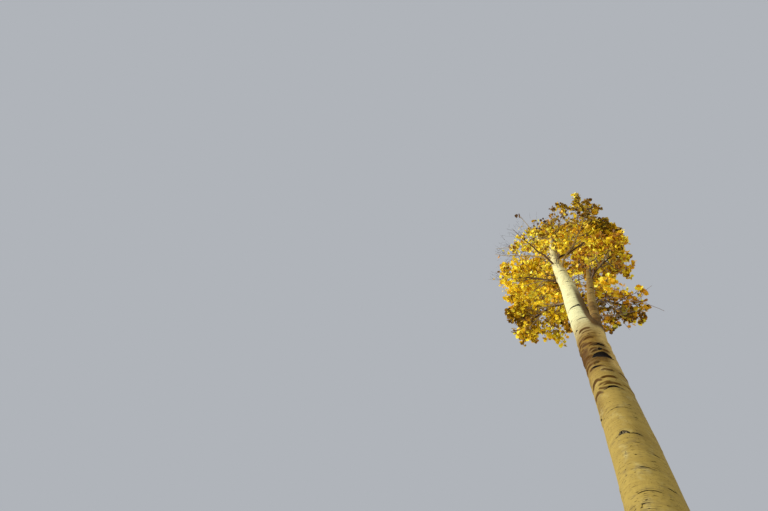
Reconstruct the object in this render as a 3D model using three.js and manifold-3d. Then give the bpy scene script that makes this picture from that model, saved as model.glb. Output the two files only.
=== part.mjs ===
// A quaking aspen, a poplar of mountain groves, in its autumn leaf: one slender
// tree with a second leader that parts from the trunk at the fork, its main
// boughs, and the separate masses of foliage that make up the narrow crown.
//
// Millimetres, +Z up. The origin is the middle of the flat cut at ground level,
// +X is to the right and +Y away from the side the tree is seen from.

import * as THREE from "three";
import { mergeVertices } from "three/addons/utils/BufferGeometryUtils.js";
import Module from "manifold-3d";

// ---------------------------------------------------------------- sizes, mm

const TREE_HEIGHT = 15200; // ground to the tip of the leader
const GAP = 0.4; // left between neighbours that are cut to each other

// The trunk: how far its axis has leaned (x, y) and how thick it is at heights
// up the stem. It stands plumb for the first 3 m, leans to -X through the fork
// and the lower crown, and comes back upright in the leader.
const TRUNK_STATIONS = [
  // height, lean x, lean y, diameter
  [0, 0, 0, 262],
  [300, 2, 2, 240],
  [1300, 4, 8, 224],
  [3000, 0, 14, 217],
  [4400, -42, 18, 212],
  [5200, -88, 20, 208],
  [5800, -118, 18, 203],
  [6600, -150, 12, 192],
  [7300, -192, 4, 184],
  [8050, -250, -6, 164],
  [9100, -300, -18, 131],
  [10600, -336, -22, 108],
  [12300, -358, -14, 84],
  [13600, -346, 0, 56],
  [14500, -334, 8, 32],
  [15120, -326, 12, 11],
];
const TRUNK_SIDES = 14;

// Root flare: the stem widens to the ground in a few blunt buttresses.
const FLARE_HEIGHT = 210; // how fast it dies away up the stem
const FLARE_ROUND = 0.16; // even part, as a share of the radius
const FLARE_LOBES = 0.13; // lobed part
const FLARE_COUNT = 5;

// The fork: the trunk swells toward the second leader just under the crotch.
const FORK_HEIGHT = 5000;
const FORK_SPREAD = 200;
const FORK_SWELL = 0.30; // share of the radius, on the side of the leader

// The second leader, from inside the trunk to where it ends in the foliage.
const LEADER_STATIONS = [
  // height, x, y, diameter
  [4576, -43, 3, 80],
  [4805, -13, -29, 82],
  [5087, 20, -41, 83],
  [5636, 38, -38, 82],
  [6294, 72, -15, 80],
  [6935, 111, 13, 77],
  [7844, 165, 40, 70],
  [8746, 191, 49, 58],
  [9640, 198, 32, 43],
];
const LEADER_SIDES = 10;

// The crown. Each mass of foliage has a height for its middle, a bearing and a
// reach from the trunk's axis (0 deg is +X, 90 deg is +Y), a half width and a
// half height. Its bough leaves the trunk or the second leader that far below
// the middle of the mass ("drop"), with that thickness at its foot.
const CROWN = [
  // name, height, bearing, reach, half width, half height, stem, drop, bough
  ["low_right", 6420, 26, 560, 380, 300, "leader", 620, 30],
  ["low_left", 6900, 146, 620, 510, 430, "trunk", 700, 36],
  ["right_low", 7600, -4, 620, 520, 480, "leader", 660, 36],
  ["left_low", 7820, 186, 640, 570, 520, "trunk", 660, 42],
  ["back_low", 7750, 84, 700, 580, 500, "trunk", 680, 38],
  ["front_low", 8480, 316, 680, 480, 440, "trunk", 620, 36],
  ["front_left", 8740, 235, 650, 490, 450, "trunk", 600, 36],
  ["right_mid", 8780, 18, 740, 570, 530, "leader", 700, 38],
  ["back_left", 8920, 134, 740, 640, 580, "trunk", 720, 40],
  ["left_mid", 9660, 194, 740, 610, 530, "trunk", 680, 40],
  ["back_right", 9850, 66, 760, 640, 580, "leader", 660, 34],
  ["front_right", 9600, 326, 760, 550, 510, "trunk", 660, 34],
  ["right_high", 10620, 2, 880, 660, 600, "trunk", 1720, 46],
  ["back_mid", 10780, 124, 760, 660, 600, "trunk", 720, 36],
  ["front_high", 10760, 242, 640, 540, 500, "trunk", 640, 32],
  ["left_high", 11440, 190, 820, 640, 500, "trunk", 260, 40],
  ["right_top", 11840, 16, 680, 620, 600, "trunk", 740, 34],
  ["back_high", 12050, 108, 620, 620, 560, "trunk", 680, 32],
  ["left_top", 12600, 200, 560, 540, 470, "trunk", 420, 34],
  ["front_top", 12340, 312, 520, 500, 480, "trunk", 620, 28],
  ["back_top", 13200, 74, 420, 500, 500, "trunk", 600, 26],
  ["right_tip", 13520, 340, 340, 420, 450, "trunk", 560, 24],
  ["left_tip", 13740, 194, 330, 400, 430, "trunk", 560, 22],
  ["crown_top", 14440, 200, 40, 450, 800, "trunk", 0, 0],
];
const MASS_DETAIL = 2; // rings of triangles on each face of the starting icosahedron
const MASS_UNEVEN = 0.24; // how far its surface wanders, as a share of the radius
const MASS_LONG = 1.05; // its length outward, against its width
const MASS_DROOP = 0.16; // how far its outer end hangs, as a share of its reach
const MASS_APART = 36; // clear space left between two masses
const BOUGH_SIDES = 6;
const BOUGH_STEPS = 6;
const BOUGH_TAPER = 0.52; // thickness where it enters the mass, of that at its foot

// -------------------------------------------------------------- materials

const BARK = new THREE.MeshStandardMaterial({
  color: 0xcdbf96,
  roughness: 0.82,
  metalness: 0,
});
const BOUGH_BARK = new THREE.MeshStandardMaterial({
  color: 0x8f8160,
  roughness: 0.85,
  metalness: 0,
});
const LEAF = [0xe0a413, 0xd08b12, 0xe9bb2c].map(
  (color) =>
    new THREE.MeshStandardMaterial({ color, roughness: 0.6, metalness: 0 }),
);

// ---------------------------------------------------------------- helpers

const rad = THREE.MathUtils.degToRad;

// A smooth value through stations at growing heights (monotone cubic).
function through(stations, column, height) {
  const n = stations.length;
  if (height <= stations[0][0]) return stations[0][column];
  if (height >= stations[n - 1][0]) return stations[n - 1][column];
  let i = 0;
  while (height > stations[i + 1][0]) i++;
  const slope = (k) =>
    (stations[k + 1][column] - stations[k][column]) /
    (stations[k + 1][0] - stations[k][0]);
  const tangent = (k) => {
    if (k === 0) return slope(0);
    if (k === n - 1) return slope(n - 2);
    const a = slope(k - 1),
      b = slope(k);
    return a * b <= 0 ? 0 : (2 * a * b) / (a + b);
  };
  const h = stations[i + 1][0] - stations[i][0];
  const t = (height - stations[i][0]) / h;
  const t2 = t * t,
    t3 = t2 * t;
  return (
    stations[i][column] * (2 * t3 - 3 * t2 + 1) +
    tangent(i) * h * (t3 - 2 * t2 + t) +
    stations[i + 1][column] * (3 * t2 - 2 * t3) +
    tangent(i + 1) * h * (t3 - t2)
  );
}

// A number from 0 to 1 that depends only on the two whole numbers given.
function chance(a, b) {
  let h = Math.imul(a + 101, 374761393) ^ Math.imul(b + 977, 668265263);
  h = Math.imul(h ^ (h >>> 13), 1274126177);
  return ((h ^ (h >>> 16)) >>> 0) / 4294967296;
}

// Slow bumps over a sphere of directions: a few waves that run different ways.
function bumps(direction, seed) {
  let sum = 0;
  for (let k = 0; k < 7; k++) {
    const up = 2 * chance(seed, 3 * k) - 1;
    const turn = 2 * Math.PI * chance(seed, 3 * k + 1);
    const flat = Math.sqrt(1 - up * up);
    const along =
      direction.x * flat * Math.cos(turn) +
      direction.y * flat * Math.sin(turn) +
      direction.z * up;
    const pitch = 2.2 + 0.75 * k;
    sum +=
      Math.sin(pitch * along + 6.283 * chance(seed, 3 * k + 2)) / (1 + 0.35 * k);
  }
  return sum / 2.6;
}

// A closed round bar: a capped cylinder whose rings are carried onto a path.
// place(t) gives the middle of ring t (0 to 1), and thickness(t, angle) its radius.
// With upright rings the cuts at both ends are level.
function bar(sides, steps, place, thickness, upright) {
  const geometry = new THREE.CylinderGeometry(1, 1, 1, sides, steps, false);
  geometry.deleteAttribute("normal");
  geometry.deleteAttribute("uv");
  const merged = mergeVertices(geometry, 1e-4);
  const position = merged.getAttribute("position");
  const point = new THREE.Vector3();
  for (let i = 0; i < position.count; i++) {
    point.fromBufferAttribute(position, i);
    const t = point.y + 0.5;
    const across = Math.hypot(point.x, point.z);
    const angle = Math.atan2(-point.z, point.x);
    const middle = place(t);
    const radius = across * thickness(t, angle);
    if (upright) {
      position.setXYZ(
        i,
        middle.x + radius * Math.cos(angle),
        middle.y + radius * Math.sin(angle),
        middle.z,
      );
      continue;
    }
    const ahead = place(Math.min(1, t + 0.01))
      .sub(place(Math.max(0, t - 0.01)))
      .normalize();
    const side = new THREE.Vector3(-ahead.y, ahead.x, 0);
    if (side.lengthSq() < 1e-6) side.set(1, 0, 0);
    side.normalize();
    const rise = new THREE.Vector3().crossVectors(side, ahead).negate();
    middle
      .addScaledVector(side, radius * Math.cos(angle))
      .addScaledVector(rise, radius * Math.sin(angle));
    position.setXYZ(i, middle.x, middle.y, middle.z);
  }
  return merged;
}

const wasm = await Module();
wasm.setup();

function solid(geometry) {
  return new wasm.Manifold(
    new wasm.Mesh({
      numProp: 3,
      vertProperties: new Float32Array(geometry.getAttribute("position").array),
      triVerts: new Uint32Array(geometry.index.array),
    }),
  );
}

// The largest single body of a cut solid, as a geometry.
function body(made) {
  const mesh = made.getMesh();
  const corners = mesh.triVerts;
  const n = mesh.vertProperties.length / mesh.numProp;
  const parent = Array.from({ length: n }, (_, i) => i);
  const find = (i) => {
    while (parent[i] !== i) i = parent[i] = parent[parent[i]];
    return i;
  };
  for (let i = 0; i < mesh.mergeFromVert.length; i++)
    parent[find(mesh.mergeFromVert[i])] = find(mesh.mergeToVert[i]);
  for (let i = 0; i < corners.length; i += 3) {
    parent[find(corners[i])] = find(corners[i + 1]);
    parent[find(corners[i + 1])] = find(corners[i + 2]);
  }
  const P = (i, k) => mesh.vertProperties[i * mesh.numProp + k];
  const volume = new Map();
  for (let i = 0; i < corners.length; i += 3) {
    const [a, b, c] = [corners[i], corners[i + 1], corners[i + 2]];
    const six =
      P(a, 0) * (P(b, 1) * P(c, 2) - P(b, 2) * P(c, 1)) +
      P(a, 1) * (P(b, 2) * P(c, 0) - P(b, 0) * P(c, 2)) +
      P(a, 2) * (P(b, 0) * P(c, 1) - P(b, 1) * P(c, 0));
    const root = find(a);
    volume.set(root, (volume.get(root) || 0) + six);
  }
  const largest = [...volume].sort((a, b) => b[1] - a[1])[0][0];
  const kept = [];
  for (let i = 0; i < corners.length; i += 3)
    if (find(corners[i]) === largest)
      kept.push(corners[i], corners[i + 1], corners[i + 2]);
  const geometry = new THREE.BufferGeometry();
  const positions = new Float32Array(n * 3);
  for (let i = 0; i < n; i++)
    for (let k = 0; k < 3; k++) positions[3 * i + k] = P(i, k);
  geometry.setAttribute("position", new THREE.BufferAttribute(positions, 3));
  geometry.setIndex(kept);
  return geometry;
}

const tree = new THREE.Group();
function put(name, geometry, material) {
  const shown = geometry.toNonIndexed();
  shown.computeVertexNormals();
  const mesh = new THREE.Mesh(shown, material);
  mesh.name = name;
  tree.add(mesh);
}

// ------------------------------------------------------------------ stems

function trunkAxis(height) {
  return new THREE.Vector3(
    through(TRUNK_STATIONS, 1, height),
    through(TRUNK_STATIONS, 2, height),
    height,
  );
}

function trunkRadius(height, angle) {
  const plain = through(TRUNK_STATIONS, 3, height) / 2;
  const foot = Math.exp(-height / FLARE_HEIGHT);
  const lobes = 0.5 + 0.5 * Math.cos(FLARE_COUNT * angle + 0.9 * Math.sin(angle + 0.7));
  const fork = Math.exp(-(((height - FORK_HEIGHT) / FORK_SPREAD) ** 2));
  const toward = Math.max(0, Math.cos(angle + 0.75)) ** 2;
  return (
    plain *
    (1 + foot * (FLARE_ROUND + FLARE_LOBES * lobes) + FORK_SWELL * fork * toward)
  );
}

// Rings stand closer near the ground and at the fork than up the clear stem.
const RINGS = [
  0, 60, 140, 260, 450, 900, 1800, 3000, 3900, 4350, 4600, 4800, 5000, 5200,
  5450, 5900, 6600, 7300, 8050, 8600, 9100, 9850, 10600, 11450, 12300, 13000,
  13600, 14100, 14500, 14850,
].map((ring) => ring * (TREE_HEIGHT / 15200));
RINGS.push(TREE_HEIGHT - 80);

function trunkBar(extra) {
  const ringAt = (t) => RINGS[Math.round(t * (RINGS.length - 1))];
  return bar(
    TRUNK_SIDES,
    RINGS.length - 1,
    (t) => trunkAxis(ringAt(t)),
    (t, angle) => trunkRadius(ringAt(t), angle) + extra,
    true,
  );
}

function leaderAxis(height) {
  return new THREE.Vector3(
    through(LEADER_STATIONS, 1, height),
    through(LEADER_STATIONS, 2, height),
    height,
  );
}

const LEADER_FOOT = LEADER_STATIONS[0][0];
const LEADER_TIP = LEADER_STATIONS[LEADER_STATIONS.length - 1][0];

function leaderBar(extra) {
  const heightAt = (t) => LEADER_FOOT + t * (LEADER_TIP - LEADER_FOOT);
  return bar(
    LEADER_SIDES,
    14,
    (t) => leaderAxis(heightAt(t)),
    (t) => through(LEADER_STATIONS, 3, heightAt(t)) / 2 + extra,
    true,
  );
}

const trunk = solid(trunkBar(0));
const trunkRoom = solid(trunkBar(GAP));
const leader = solid(leaderBar(0)).subtract(trunkRoom);
const leaderRoom = solid(leaderBar(GAP));

// --------------------------------------------------------------- foliage

const masses = CROWN.map(
  ([name, height, bearing, reach, wide, tall, stem, drop, thick], index) => {
    const middle = trunkAxis(height).add(
      new THREE.Vector3(
        reach * Math.cos(rad(bearing)),
        reach * Math.sin(rad(bearing)),
        0,
      ),
    );
    return { name, middle, wide, tall, stem, drop, thick, bearing, reach, seed: index + 1 };
  },
);

// How far the surface of a mass lies from its middle in one direction. Where
// another mass is near, it stops short of the plane between the two.
function massReach(mass, direction) {
  const out = direction.x * Math.cos(rad(mass.bearing)) + direction.y * Math.sin(rad(mass.bearing));
  const across = direction.y * Math.cos(rad(mass.bearing)) - direction.x * Math.sin(rad(mass.bearing));
  // the outer end of a mass hangs a little lower than its foot
  const up = mass.drop > 0 ? direction.z + MASS_DROOP * out : direction.z;
  const round =
    1 /
    Math.sqrt(
      (out / (mass.wide * MASS_LONG)) ** 2 +
        (across / mass.wide) ** 2 +
        (up / mass.tall) ** 2,
    );
  let reach = round * (1 + MASS_UNEVEN * bumps(direction, mass.seed));
  // the crown narrows to its tip
  if (mass.drop === 0)
    reach *= 1 - 0.62 * Math.max(0, up) * (1 - Math.max(0, up));
  for (const other of masses) {
    if (other === mass) continue;
    const between = new THREE.Vector3().subVectors(other.middle, mass.middle);
    const apart = between.length();
    between.divideScalar(apart);
    const facing = direction.dot(between);
    if (facing <= 1e-3) continue;
    const own = mass.wide + mass.tall,
      its = other.wide + other.tall;
    const limit = ((apart * own) / (own + its) - MASS_APART / 2) / facing;
    if (limit < 4 * reach)
      reach = reach / (1 + (reach / limit) ** 8) ** (1 / 8);
  }
  return reach;
}

function massGeometry(mass, extra) {
  const ball = new THREE.IcosahedronGeometry(1, MASS_DETAIL);
  ball.deleteAttribute("normal");
  ball.deleteAttribute("uv");
  const merged = mergeVertices(ball, 1e-4);
  const position = merged.getAttribute("position");
  const direction = new THREE.Vector3();
  for (let i = 0; i < position.count; i++) {
    direction.fromBufferAttribute(position, i).normalize();
    const reach = massReach(mass, direction) + extra;
    position.setXYZ(
      i,
      mass.middle.x + direction.x * reach,
      mass.middle.y + direction.y * reach,
      mass.middle.z + direction.z * reach,
    );
  }
  return merged;
}

// ---------------------------------------------------------------- boughs

// A bough leaves its stem's axis, climbs beside the stem at first and then
// bends out to the middle of its mass.
function boughPath(mass) {
  const axis = mass.stem === "leader" ? leaderAxis : trunkAxis;
  const from = axis(mass.middle.z - mass.drop);
  const out = new THREE.Vector3().subVectors(mass.middle, from);
  const lift = Math.min(0.34, 0.16 + 120 / mass.reach);
  const elbow = from
    .clone()
    .addScaledVector(out, 0.45)
    .add(new THREE.Vector3(0, 0, lift * 0.5 * mass.drop));
  return new THREE.QuadraticBezierCurve3(from, elbow, mass.middle.clone());
}

function boughBar(mass, extra) {
  const path = boughPath(mass);
  return bar(
    BOUGH_SIDES,
    BOUGH_STEPS,
    (t) => path.getPoint(t),
    (t) => (mass.thick / 2) * (1 - (1 - BOUGH_TAPER) * t) + extra,
    false,
  );
}

const boughs = masses.filter((mass) => mass.drop > 0);

put("trunk", body(trunk), BARK);
put("second_leader", body(leader), BARK);

for (const mass of boughs) {
  let limb = solid(boughBar(mass, 0));
  limb = limb.subtract(mass.stem === "leader" ? leaderRoom : trunkRoom);
  limb = limb.subtract(solid(massGeometry(mass, GAP)));
  put("bough_" + mass.name, body(limb), BOUGH_BARK);
}

masses.forEach((mass, index) => {
  let leaves = solid(massGeometry(mass, 0));
  leaves = leaves.subtract(trunkRoom).subtract(leaderRoom);
  for (const other of boughs)
    if (other !== mass) leaves = leaves.subtract(solid(boughBar(other, GAP)));
  put("foliage_" + mass.name, body(leaves), LEAF[index % LEAF.length]);
});

export default tree;
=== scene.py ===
# A quaking aspen in autumn leaf: the looks of the whole tree. Metres, +Z up, the
# origin in the middle of the flat cut at ground level.

import math

import bpy
import numpy as np
from mathutils import Matrix, Vector
from mathutils.bvhtree import BVHTree

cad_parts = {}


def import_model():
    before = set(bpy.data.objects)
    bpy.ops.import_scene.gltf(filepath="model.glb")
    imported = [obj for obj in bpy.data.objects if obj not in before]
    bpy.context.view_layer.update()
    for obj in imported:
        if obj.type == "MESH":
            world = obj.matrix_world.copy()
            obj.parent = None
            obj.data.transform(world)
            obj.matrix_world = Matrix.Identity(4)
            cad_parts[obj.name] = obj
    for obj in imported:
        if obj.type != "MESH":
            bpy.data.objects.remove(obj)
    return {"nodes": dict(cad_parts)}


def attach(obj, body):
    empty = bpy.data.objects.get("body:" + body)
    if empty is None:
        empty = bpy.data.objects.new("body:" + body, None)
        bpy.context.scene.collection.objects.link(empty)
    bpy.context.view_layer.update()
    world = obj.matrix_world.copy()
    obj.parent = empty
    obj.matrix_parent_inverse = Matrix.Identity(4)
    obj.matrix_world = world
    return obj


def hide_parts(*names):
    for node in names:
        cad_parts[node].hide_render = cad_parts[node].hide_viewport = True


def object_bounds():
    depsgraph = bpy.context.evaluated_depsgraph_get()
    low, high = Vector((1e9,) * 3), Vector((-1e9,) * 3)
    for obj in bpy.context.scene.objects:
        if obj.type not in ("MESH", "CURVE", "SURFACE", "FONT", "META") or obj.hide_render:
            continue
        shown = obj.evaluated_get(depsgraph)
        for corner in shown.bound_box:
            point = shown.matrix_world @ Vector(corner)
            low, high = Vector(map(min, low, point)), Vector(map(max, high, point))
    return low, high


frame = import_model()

CAD_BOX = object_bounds()
SEED = 20517
rng = np.random.default_rng(SEED)

# ------------------------------------------------------------------ the camera
# It stands 1.3 m in front of the trunk, 1.5 m up, and looks up at 64 degrees.
# These are the frame's X, Y and Z axes as the camera sees them.

EYE = np.array((0.0, -1.3, 1.5))
SEEN_AXES = np.array(
    (
        (0.8525082883, 0.2812480615, 0.4406008923),
        (0.3237438953, -0.9458741725, -0.0226260928),
        (0.4103894596, 0.1619307808, -0.8974179147),
    )
)
FOCAL_PX, MIDDLE = 363.0, (384.0, 255.5)

camera = bpy.data.objects.new("Camera", bpy.data.cameras.new("Camera"))
bpy.context.scene.collection.objects.link(camera)
camera.data.sensor_fit = "HORIZONTAL"
camera.data.sensor_width = 36.0
camera.data.lens = 36.0 * FOCAL_PX / 768.0
camera.data.clip_start, camera.data.clip_end = 0.05, 500.0
camera.matrix_world = Matrix.Translation(Vector(EYE)) @ Matrix(SEEN_AXES.tolist()).to_4x4()
bpy.context.scene.camera = camera


def photo(points):
    """Where points fall in the 768 x 511 frame, and how far away they are."""
    ray = np.asarray(points, float) - EYE
    seen = ray @ SEEN_AXES
    ahead = np.maximum(-seen[..., 2], 1e-6)
    return (
        MIDDLE[0] + FOCAL_PX * seen[..., 0] / ahead,
        MIDDLE[1] - FOCAL_PX * seen[..., 1] / ahead,
        np.linalg.norm(ray, axis=-1),
    )


# ------------------------------------------------------------ sizes of the tree

# height, lean x, lean y, diameter of the trunk, mm
TRUNK = np.array(
    (
        (0, 0, 0, 262),
        (300, 2, 2, 240),
        (1300, 4, 8, 224),
        (3000, 0, 14, 217),
        (4400, -42, 18, 212),
        (5200, -88, 20, 208),
        (5800, -118, 18, 203),
        (6600, -150, 12, 192),
        (7300, -192, 4, 184),
        (8050, -250, -6, 164),
        (9100, -300, -18, 131),
        (10600, -336, -22, 108),
        (12300, -358, -14, 84),
        (13600, -346, 0, 56),
        (14500, -334, 8, 32),
        (15120, -326, 12, 11),
    ),
    float,
) / 1000
TRUNK_TOP = 15.12
FLARE_HEIGHT, FLARE_ROUND, FLARE_LOBES, FLARE_COUNT = 0.21, 0.16, 0.13, 5
FORK_HEIGHT, FORK_SPREAD, FORK_SWELL = 5.0, 0.20, 0.30

# height, x, y, diameter of the second leader, mm
LEADER = np.array(
    (
        (4576, -43, 3, 80),
        (4805, -13, -29, 82),
        (5087, 20, -41, 83),
        (5636, 38, -38, 82),
        (6294, 72, -15, 80),
        (6935, 111, 13, 77),
        (7844, 165, 40, 70),
        (8746, 191, 49, 58),
        (9640, 198, 32, 43),
    ),
    float,
) / 1000
LEADER_FOOT, LEADER_TIP = 4.576, 9.64

# name, height, bearing (deg), reach, half width, half height, stem, how far
# below the mass its bough leaves the stem, thickness of the bough, all mm; then
# how full of leaf the mass is, and which tint it leans to
CROWN = (
    ("low_right", 6420, 26, 560, 380, 300, "leader", 620, 30, 0.85, "amber"),
    ("low_left", 6900, 146, 620, 510, 430, "trunk", 700, 36, 1.00, "gold"),
    ("right_low", 7600, -4, 620, 520, 480, "leader", 660, 36, 1.20, "russet"),
    ("left_low", 7820, 186, 640, 570, 520, "trunk", 660, 42, 1.15, "gold"),
    ("back_low", 7750, 84, 700, 580, 500, "trunk", 680, 38, 0.90, "amber"),
    ("front_low", 8480, 316, 680, 480, 440, "trunk", 620, 36, 0.95, "gold"),
    ("front_left", 8740, 235, 650, 490, 450, "trunk", 600, 36, 0.85, "lemon"),
    ("right_mid", 8780, 18, 740, 570, 530, "leader", 700, 38, 1.05, "amber"),
    ("back_left", 8920, 134, 740, 640, 580, "trunk", 720, 40, 1.05, "gold"),
    ("left_mid", 9660, 194, 740, 610, 530, "trunk", 680, 40, 0.85, "gold"),
    ("back_right", 9850, 66, 760, 640, 580, "leader", 660, 34, 1.00, "amber"),
    ("front_right", 9600, 326, 760, 550, 510, "trunk", 660, 34, 1.05, "lemon"),
    ("right_high", 10620, 2, 880, 660, 600, "trunk", 1720, 46, 1.05, "gold"),
    ("back_mid", 10780, 124, 760, 660, 600, "trunk", 720, 36, 1.00, "gold"),
    ("front_high", 10760, 242, 640, 540, 500, "trunk", 640, 32, 0.80, "lemon"),
    ("left_high", 11440, 190, 820, 640, 500, "trunk", 260, 40, 0.75, "gold"),
    ("right_top", 11840, 16, 680, 620, 600, "trunk", 740, 34, 1.00, "gold"),
    ("back_high", 12050, 108, 620, 620, 560, "trunk", 680, 32, 1.00, "amber"),
    ("left_top", 12600, 200, 560, 540, 470, "trunk", 420, 34, 0.85, "lemon"),
    ("front_top", 12340, 312, 520, 500, 480, "trunk", 620, 28, 0.85, "gold"),
    ("back_top", 13200, 74, 420, 500, 500, "trunk", 600, 26, 1.00, "gold"),
    ("right_tip", 13520, 340, 340, 420, 450, "trunk", 560, 24, 0.95, "gold"),
    ("left_tip", 13740, 194, 330, 400, 430, "trunk", 560, 22, 0.95, "lemon"),
    ("crown_top", 14440, 200, 40, 450, 800, "trunk", 0, 0, 0.95, "gold"),
)
BOUGH_TAPER = 0.52


def through(stations, column, height):
    """A smooth value through stations at growing heights."""
    x, y = stations[:, 0], stations[:, column]
    h = np.clip(np.asarray(height, float), x[0], x[-1])
    slope = np.diff(y) / np.diff(x)
    a, b = slope[:-1], slope[1:]
    total = np.where(a + b == 0, 1, a + b)
    tangent = np.concatenate(
        (slope[:1], np.where(a * b <= 0, 0, 2 * a * b / total), slope[-1:])
    )
    i = np.clip(np.searchsorted(x, h, side="right") - 1, 0, len(x) - 2)
    span = x[i + 1] - x[i]
    t = (h - x[i]) / span
    t2, t3 = t * t, t * t * t
    return (
        y[i] * (2 * t3 - 3 * t2 + 1)
        + tangent[i] * span * (t3 - 2 * t2 + t)
        + y[i + 1] * (3 * t2 - 2 * t3)
        + tangent[i + 1] * span * (t3 - t2)
    )


def axis_of(stations, height):
    height = np.asarray(height, float)
    return np.stack(
        (through(stations, 1, height), through(stations, 2, height), height), -1
    )


def trunk_radius(height, angle):
    foot = np.exp(-height / FLARE_HEIGHT)
    lobes = 0.5 + 0.5 * np.cos(FLARE_COUNT * angle + 0.9 * np.sin(angle + 0.7))
    fork = np.exp(-(((height - FORK_HEIGHT) / FORK_SPREAD) ** 2))
    toward = np.maximum(0, np.cos(angle + 0.75)) ** 2
    return (
        through(TRUNK, 3, height)
        / 2
        * (1 + foot * (FLARE_ROUND + FLARE_LOBES * lobes) + FORK_SWELL * fork * toward)
    )


# ------------------------------------------------------------------------ noise


def scattered(x, y, z, seed):
    """A number from -1 to 1 for each corner of a lattice."""
    mask = np.uint64(0xFFFFFFFF)
    h = (
        (x.astype(np.uint64) & mask) * np.uint64(374761393)
        + (y.astype(np.uint64) & mask) * np.uint64(668265263)
        + (z.astype(np.uint64) & mask) * np.uint64(1440662683)
        + np.uint64(seed * 1013904223 + 12345)
    ) & mask
    h = ((h ^ (h >> np.uint64(13))) * np.uint64(1274126177)) & mask
    h = ((h ^ (h >> np.uint64(16))) * np.uint64(2246822519)) & mask
    return ((h ^ (h >> np.uint64(15))) & np.uint64(0xFFFFFF)) / 8388607.5 - 1


def noise(points, seed=0):
    """Smooth noise from -1 to 1 at points of unit size."""
    points = np.asarray(points, float)
    cell = np.floor(points)
    f = points - cell
    u = f * f * f * (f * (f * 6 - 15) + 10)
    cell = cell.astype(np.int64)
    total = 0.0
    for dx in (0, 1):
        wx = u[..., 0] if dx else 1 - u[..., 0]
        for dy in (0, 1):
            wy = u[..., 1] if dy else 1 - u[..., 1]
            for dz in (0, 1):
                wz = u[..., 2] if dz else 1 - u[..., 2]
                total = total + wx * wy * wz * scattered(
                    cell[..., 0] + dx, cell[..., 1] + dy, cell[..., 2] + dz, seed
                )
    return total


def layered(points, seed=0, layers=3, gain=0.5):
    total, size, most = 0.0, 1.0, 0.0
    for k in range(layers):
        total = total + size * noise(np.asarray(points) * 2.03**k, seed + 17 * k)
        most += size
        size *= gain
    return total / most


def smooth(low, high, value):
    t = np.clip((value - low) / (high - low), 0, 1)
    return t * t * (3 - 2 * t)


# ----------------------------------------------------------------------- meshes


def make_mesh(name, points, corners, counts, materials, worn=None, facts=None, uv=None):
    """A smooth-shaded mesh object from flat arrays of points and face corners."""
    mesh = bpy.data.meshes.new(name)
    mesh.vertices.add(len(points))
    mesh.vertices.foreach_set("co", np.asarray(points, np.float32).ravel())
    mesh.loops.add(len(corners))
    mesh.loops.foreach_set("vertex_index", np.asarray(corners, np.int32))
    mesh.polygons.add(len(counts))
    starts = np.concatenate(((0,), np.cumsum(counts)[:-1])).astype(np.int32)
    mesh.polygons.foreach_set("loop_start", starts)
    mesh.polygons.foreach_set("use_smooth", np.ones(len(counts), bool))
    for material in materials:
        mesh.materials.append(material)
    if worn is not None:
        mesh.polygons.foreach_set("material_index", np.asarray(worn, np.int32))
    mesh.update(calc_edges=True)
    for key, values in (facts or {}).items():
        layer = mesh.attributes.new(key, "FLOAT", "POINT")
        layer.data.foreach_set("value", np.asarray(values, np.float32).ravel())
    if uv is not None:
        layer = mesh.uv_layers.new(name="OFBake")
        layer.data.foreach_set("uv", np.asarray(uv, np.float32).ravel())
    made = bpy.data.objects.new(name, mesh)
    bpy.context.scene.collection.objects.link(made)
    return made


def strips(length, girth, cells):
    """Lays a long tube out flat in side-by-side strips of one scale that fill a
    square. length is how far along each ring lies, girth how far round it is.
    Gives the corners of each quad, ring by ring, for the map of the surface."""
    total = length[-1]
    for count in range(1, 40):
        each = total / count
        row = np.minimum((length[:-1] / each + 1e-6).astype(int), count - 1)
        wide = np.array(
            [girth[:-1][row == k].max() if (row == k).any() else 0 for k in range(count)]
        )
        if wide.sum() * 1.0 + 0.004 * each * count >= each * 0.97:
            break
    edge = 0.006
    scale = min((0.97 - edge * count) / wide.sum(), (1 - 2 * edge) / (each * 1.02))
    left = edge + np.concatenate(((0,), np.cumsum(wide * scale + edge)[:-1]))
    start = np.array([length[:-1][row == k].min() if (row == k).any() else 0 for k in range(count)])
    low = edge + (length[:-1] - start[row]) * scale
    high = edge + (length[1:] - start[row]) * scale
    j = np.arange(cells)
    u0 = left[row][:, None] + (wide[row] * scale)[:, None] * (j / cells)
    u1 = left[row][:, None] + (wide[row] * scale)[:, None] * ((j + 1) / cells)
    uv = np.empty((len(row), cells, 4, 2))
    uv[:, :, 0, 0] = u0
    uv[:, :, 1, 0] = u1
    uv[:, :, 2, 0] = u1
    uv[:, :, 3, 0] = u0
    uv[:, :, 0, 1] = uv[:, :, 1, 1] = low[:, None]
    uv[:, :, 2, 1] = uv[:, :, 3, 1] = high[:, None]
    return uv


def tube_faces(rings, cells):
    """Corner lists for a grid of rings that closes round: quads, then two fans
    round the middle of the first ring and of the last."""
    i = np.arange(rings - 1)[:, None]
    j = np.arange(cells)[None, :]
    k = (j + 1) % cells
    quads = np.stack(
        np.broadcast_arrays(i * cells + j, i * cells + k, (i + 1) * cells + k, (i + 1) * cells + j),
        -1,
    ).reshape(-1, 4)
    j = np.arange(cells)
    k = (j + 1) % cells
    foot, tip = rings * cells, rings * cells + 1
    first = np.stack((np.full(cells, foot), k, j), -1)
    last = np.stack((np.full(cells, tip), (rings - 1) * cells + j, (rings - 1) * cells + k), -1)
    corners = np.concatenate((quads.ravel(), first.ravel(), last.ravel()))
    counts = np.concatenate((np.full(len(quads), 4), np.full(2 * cells, 3)))
    return corners, counts


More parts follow.
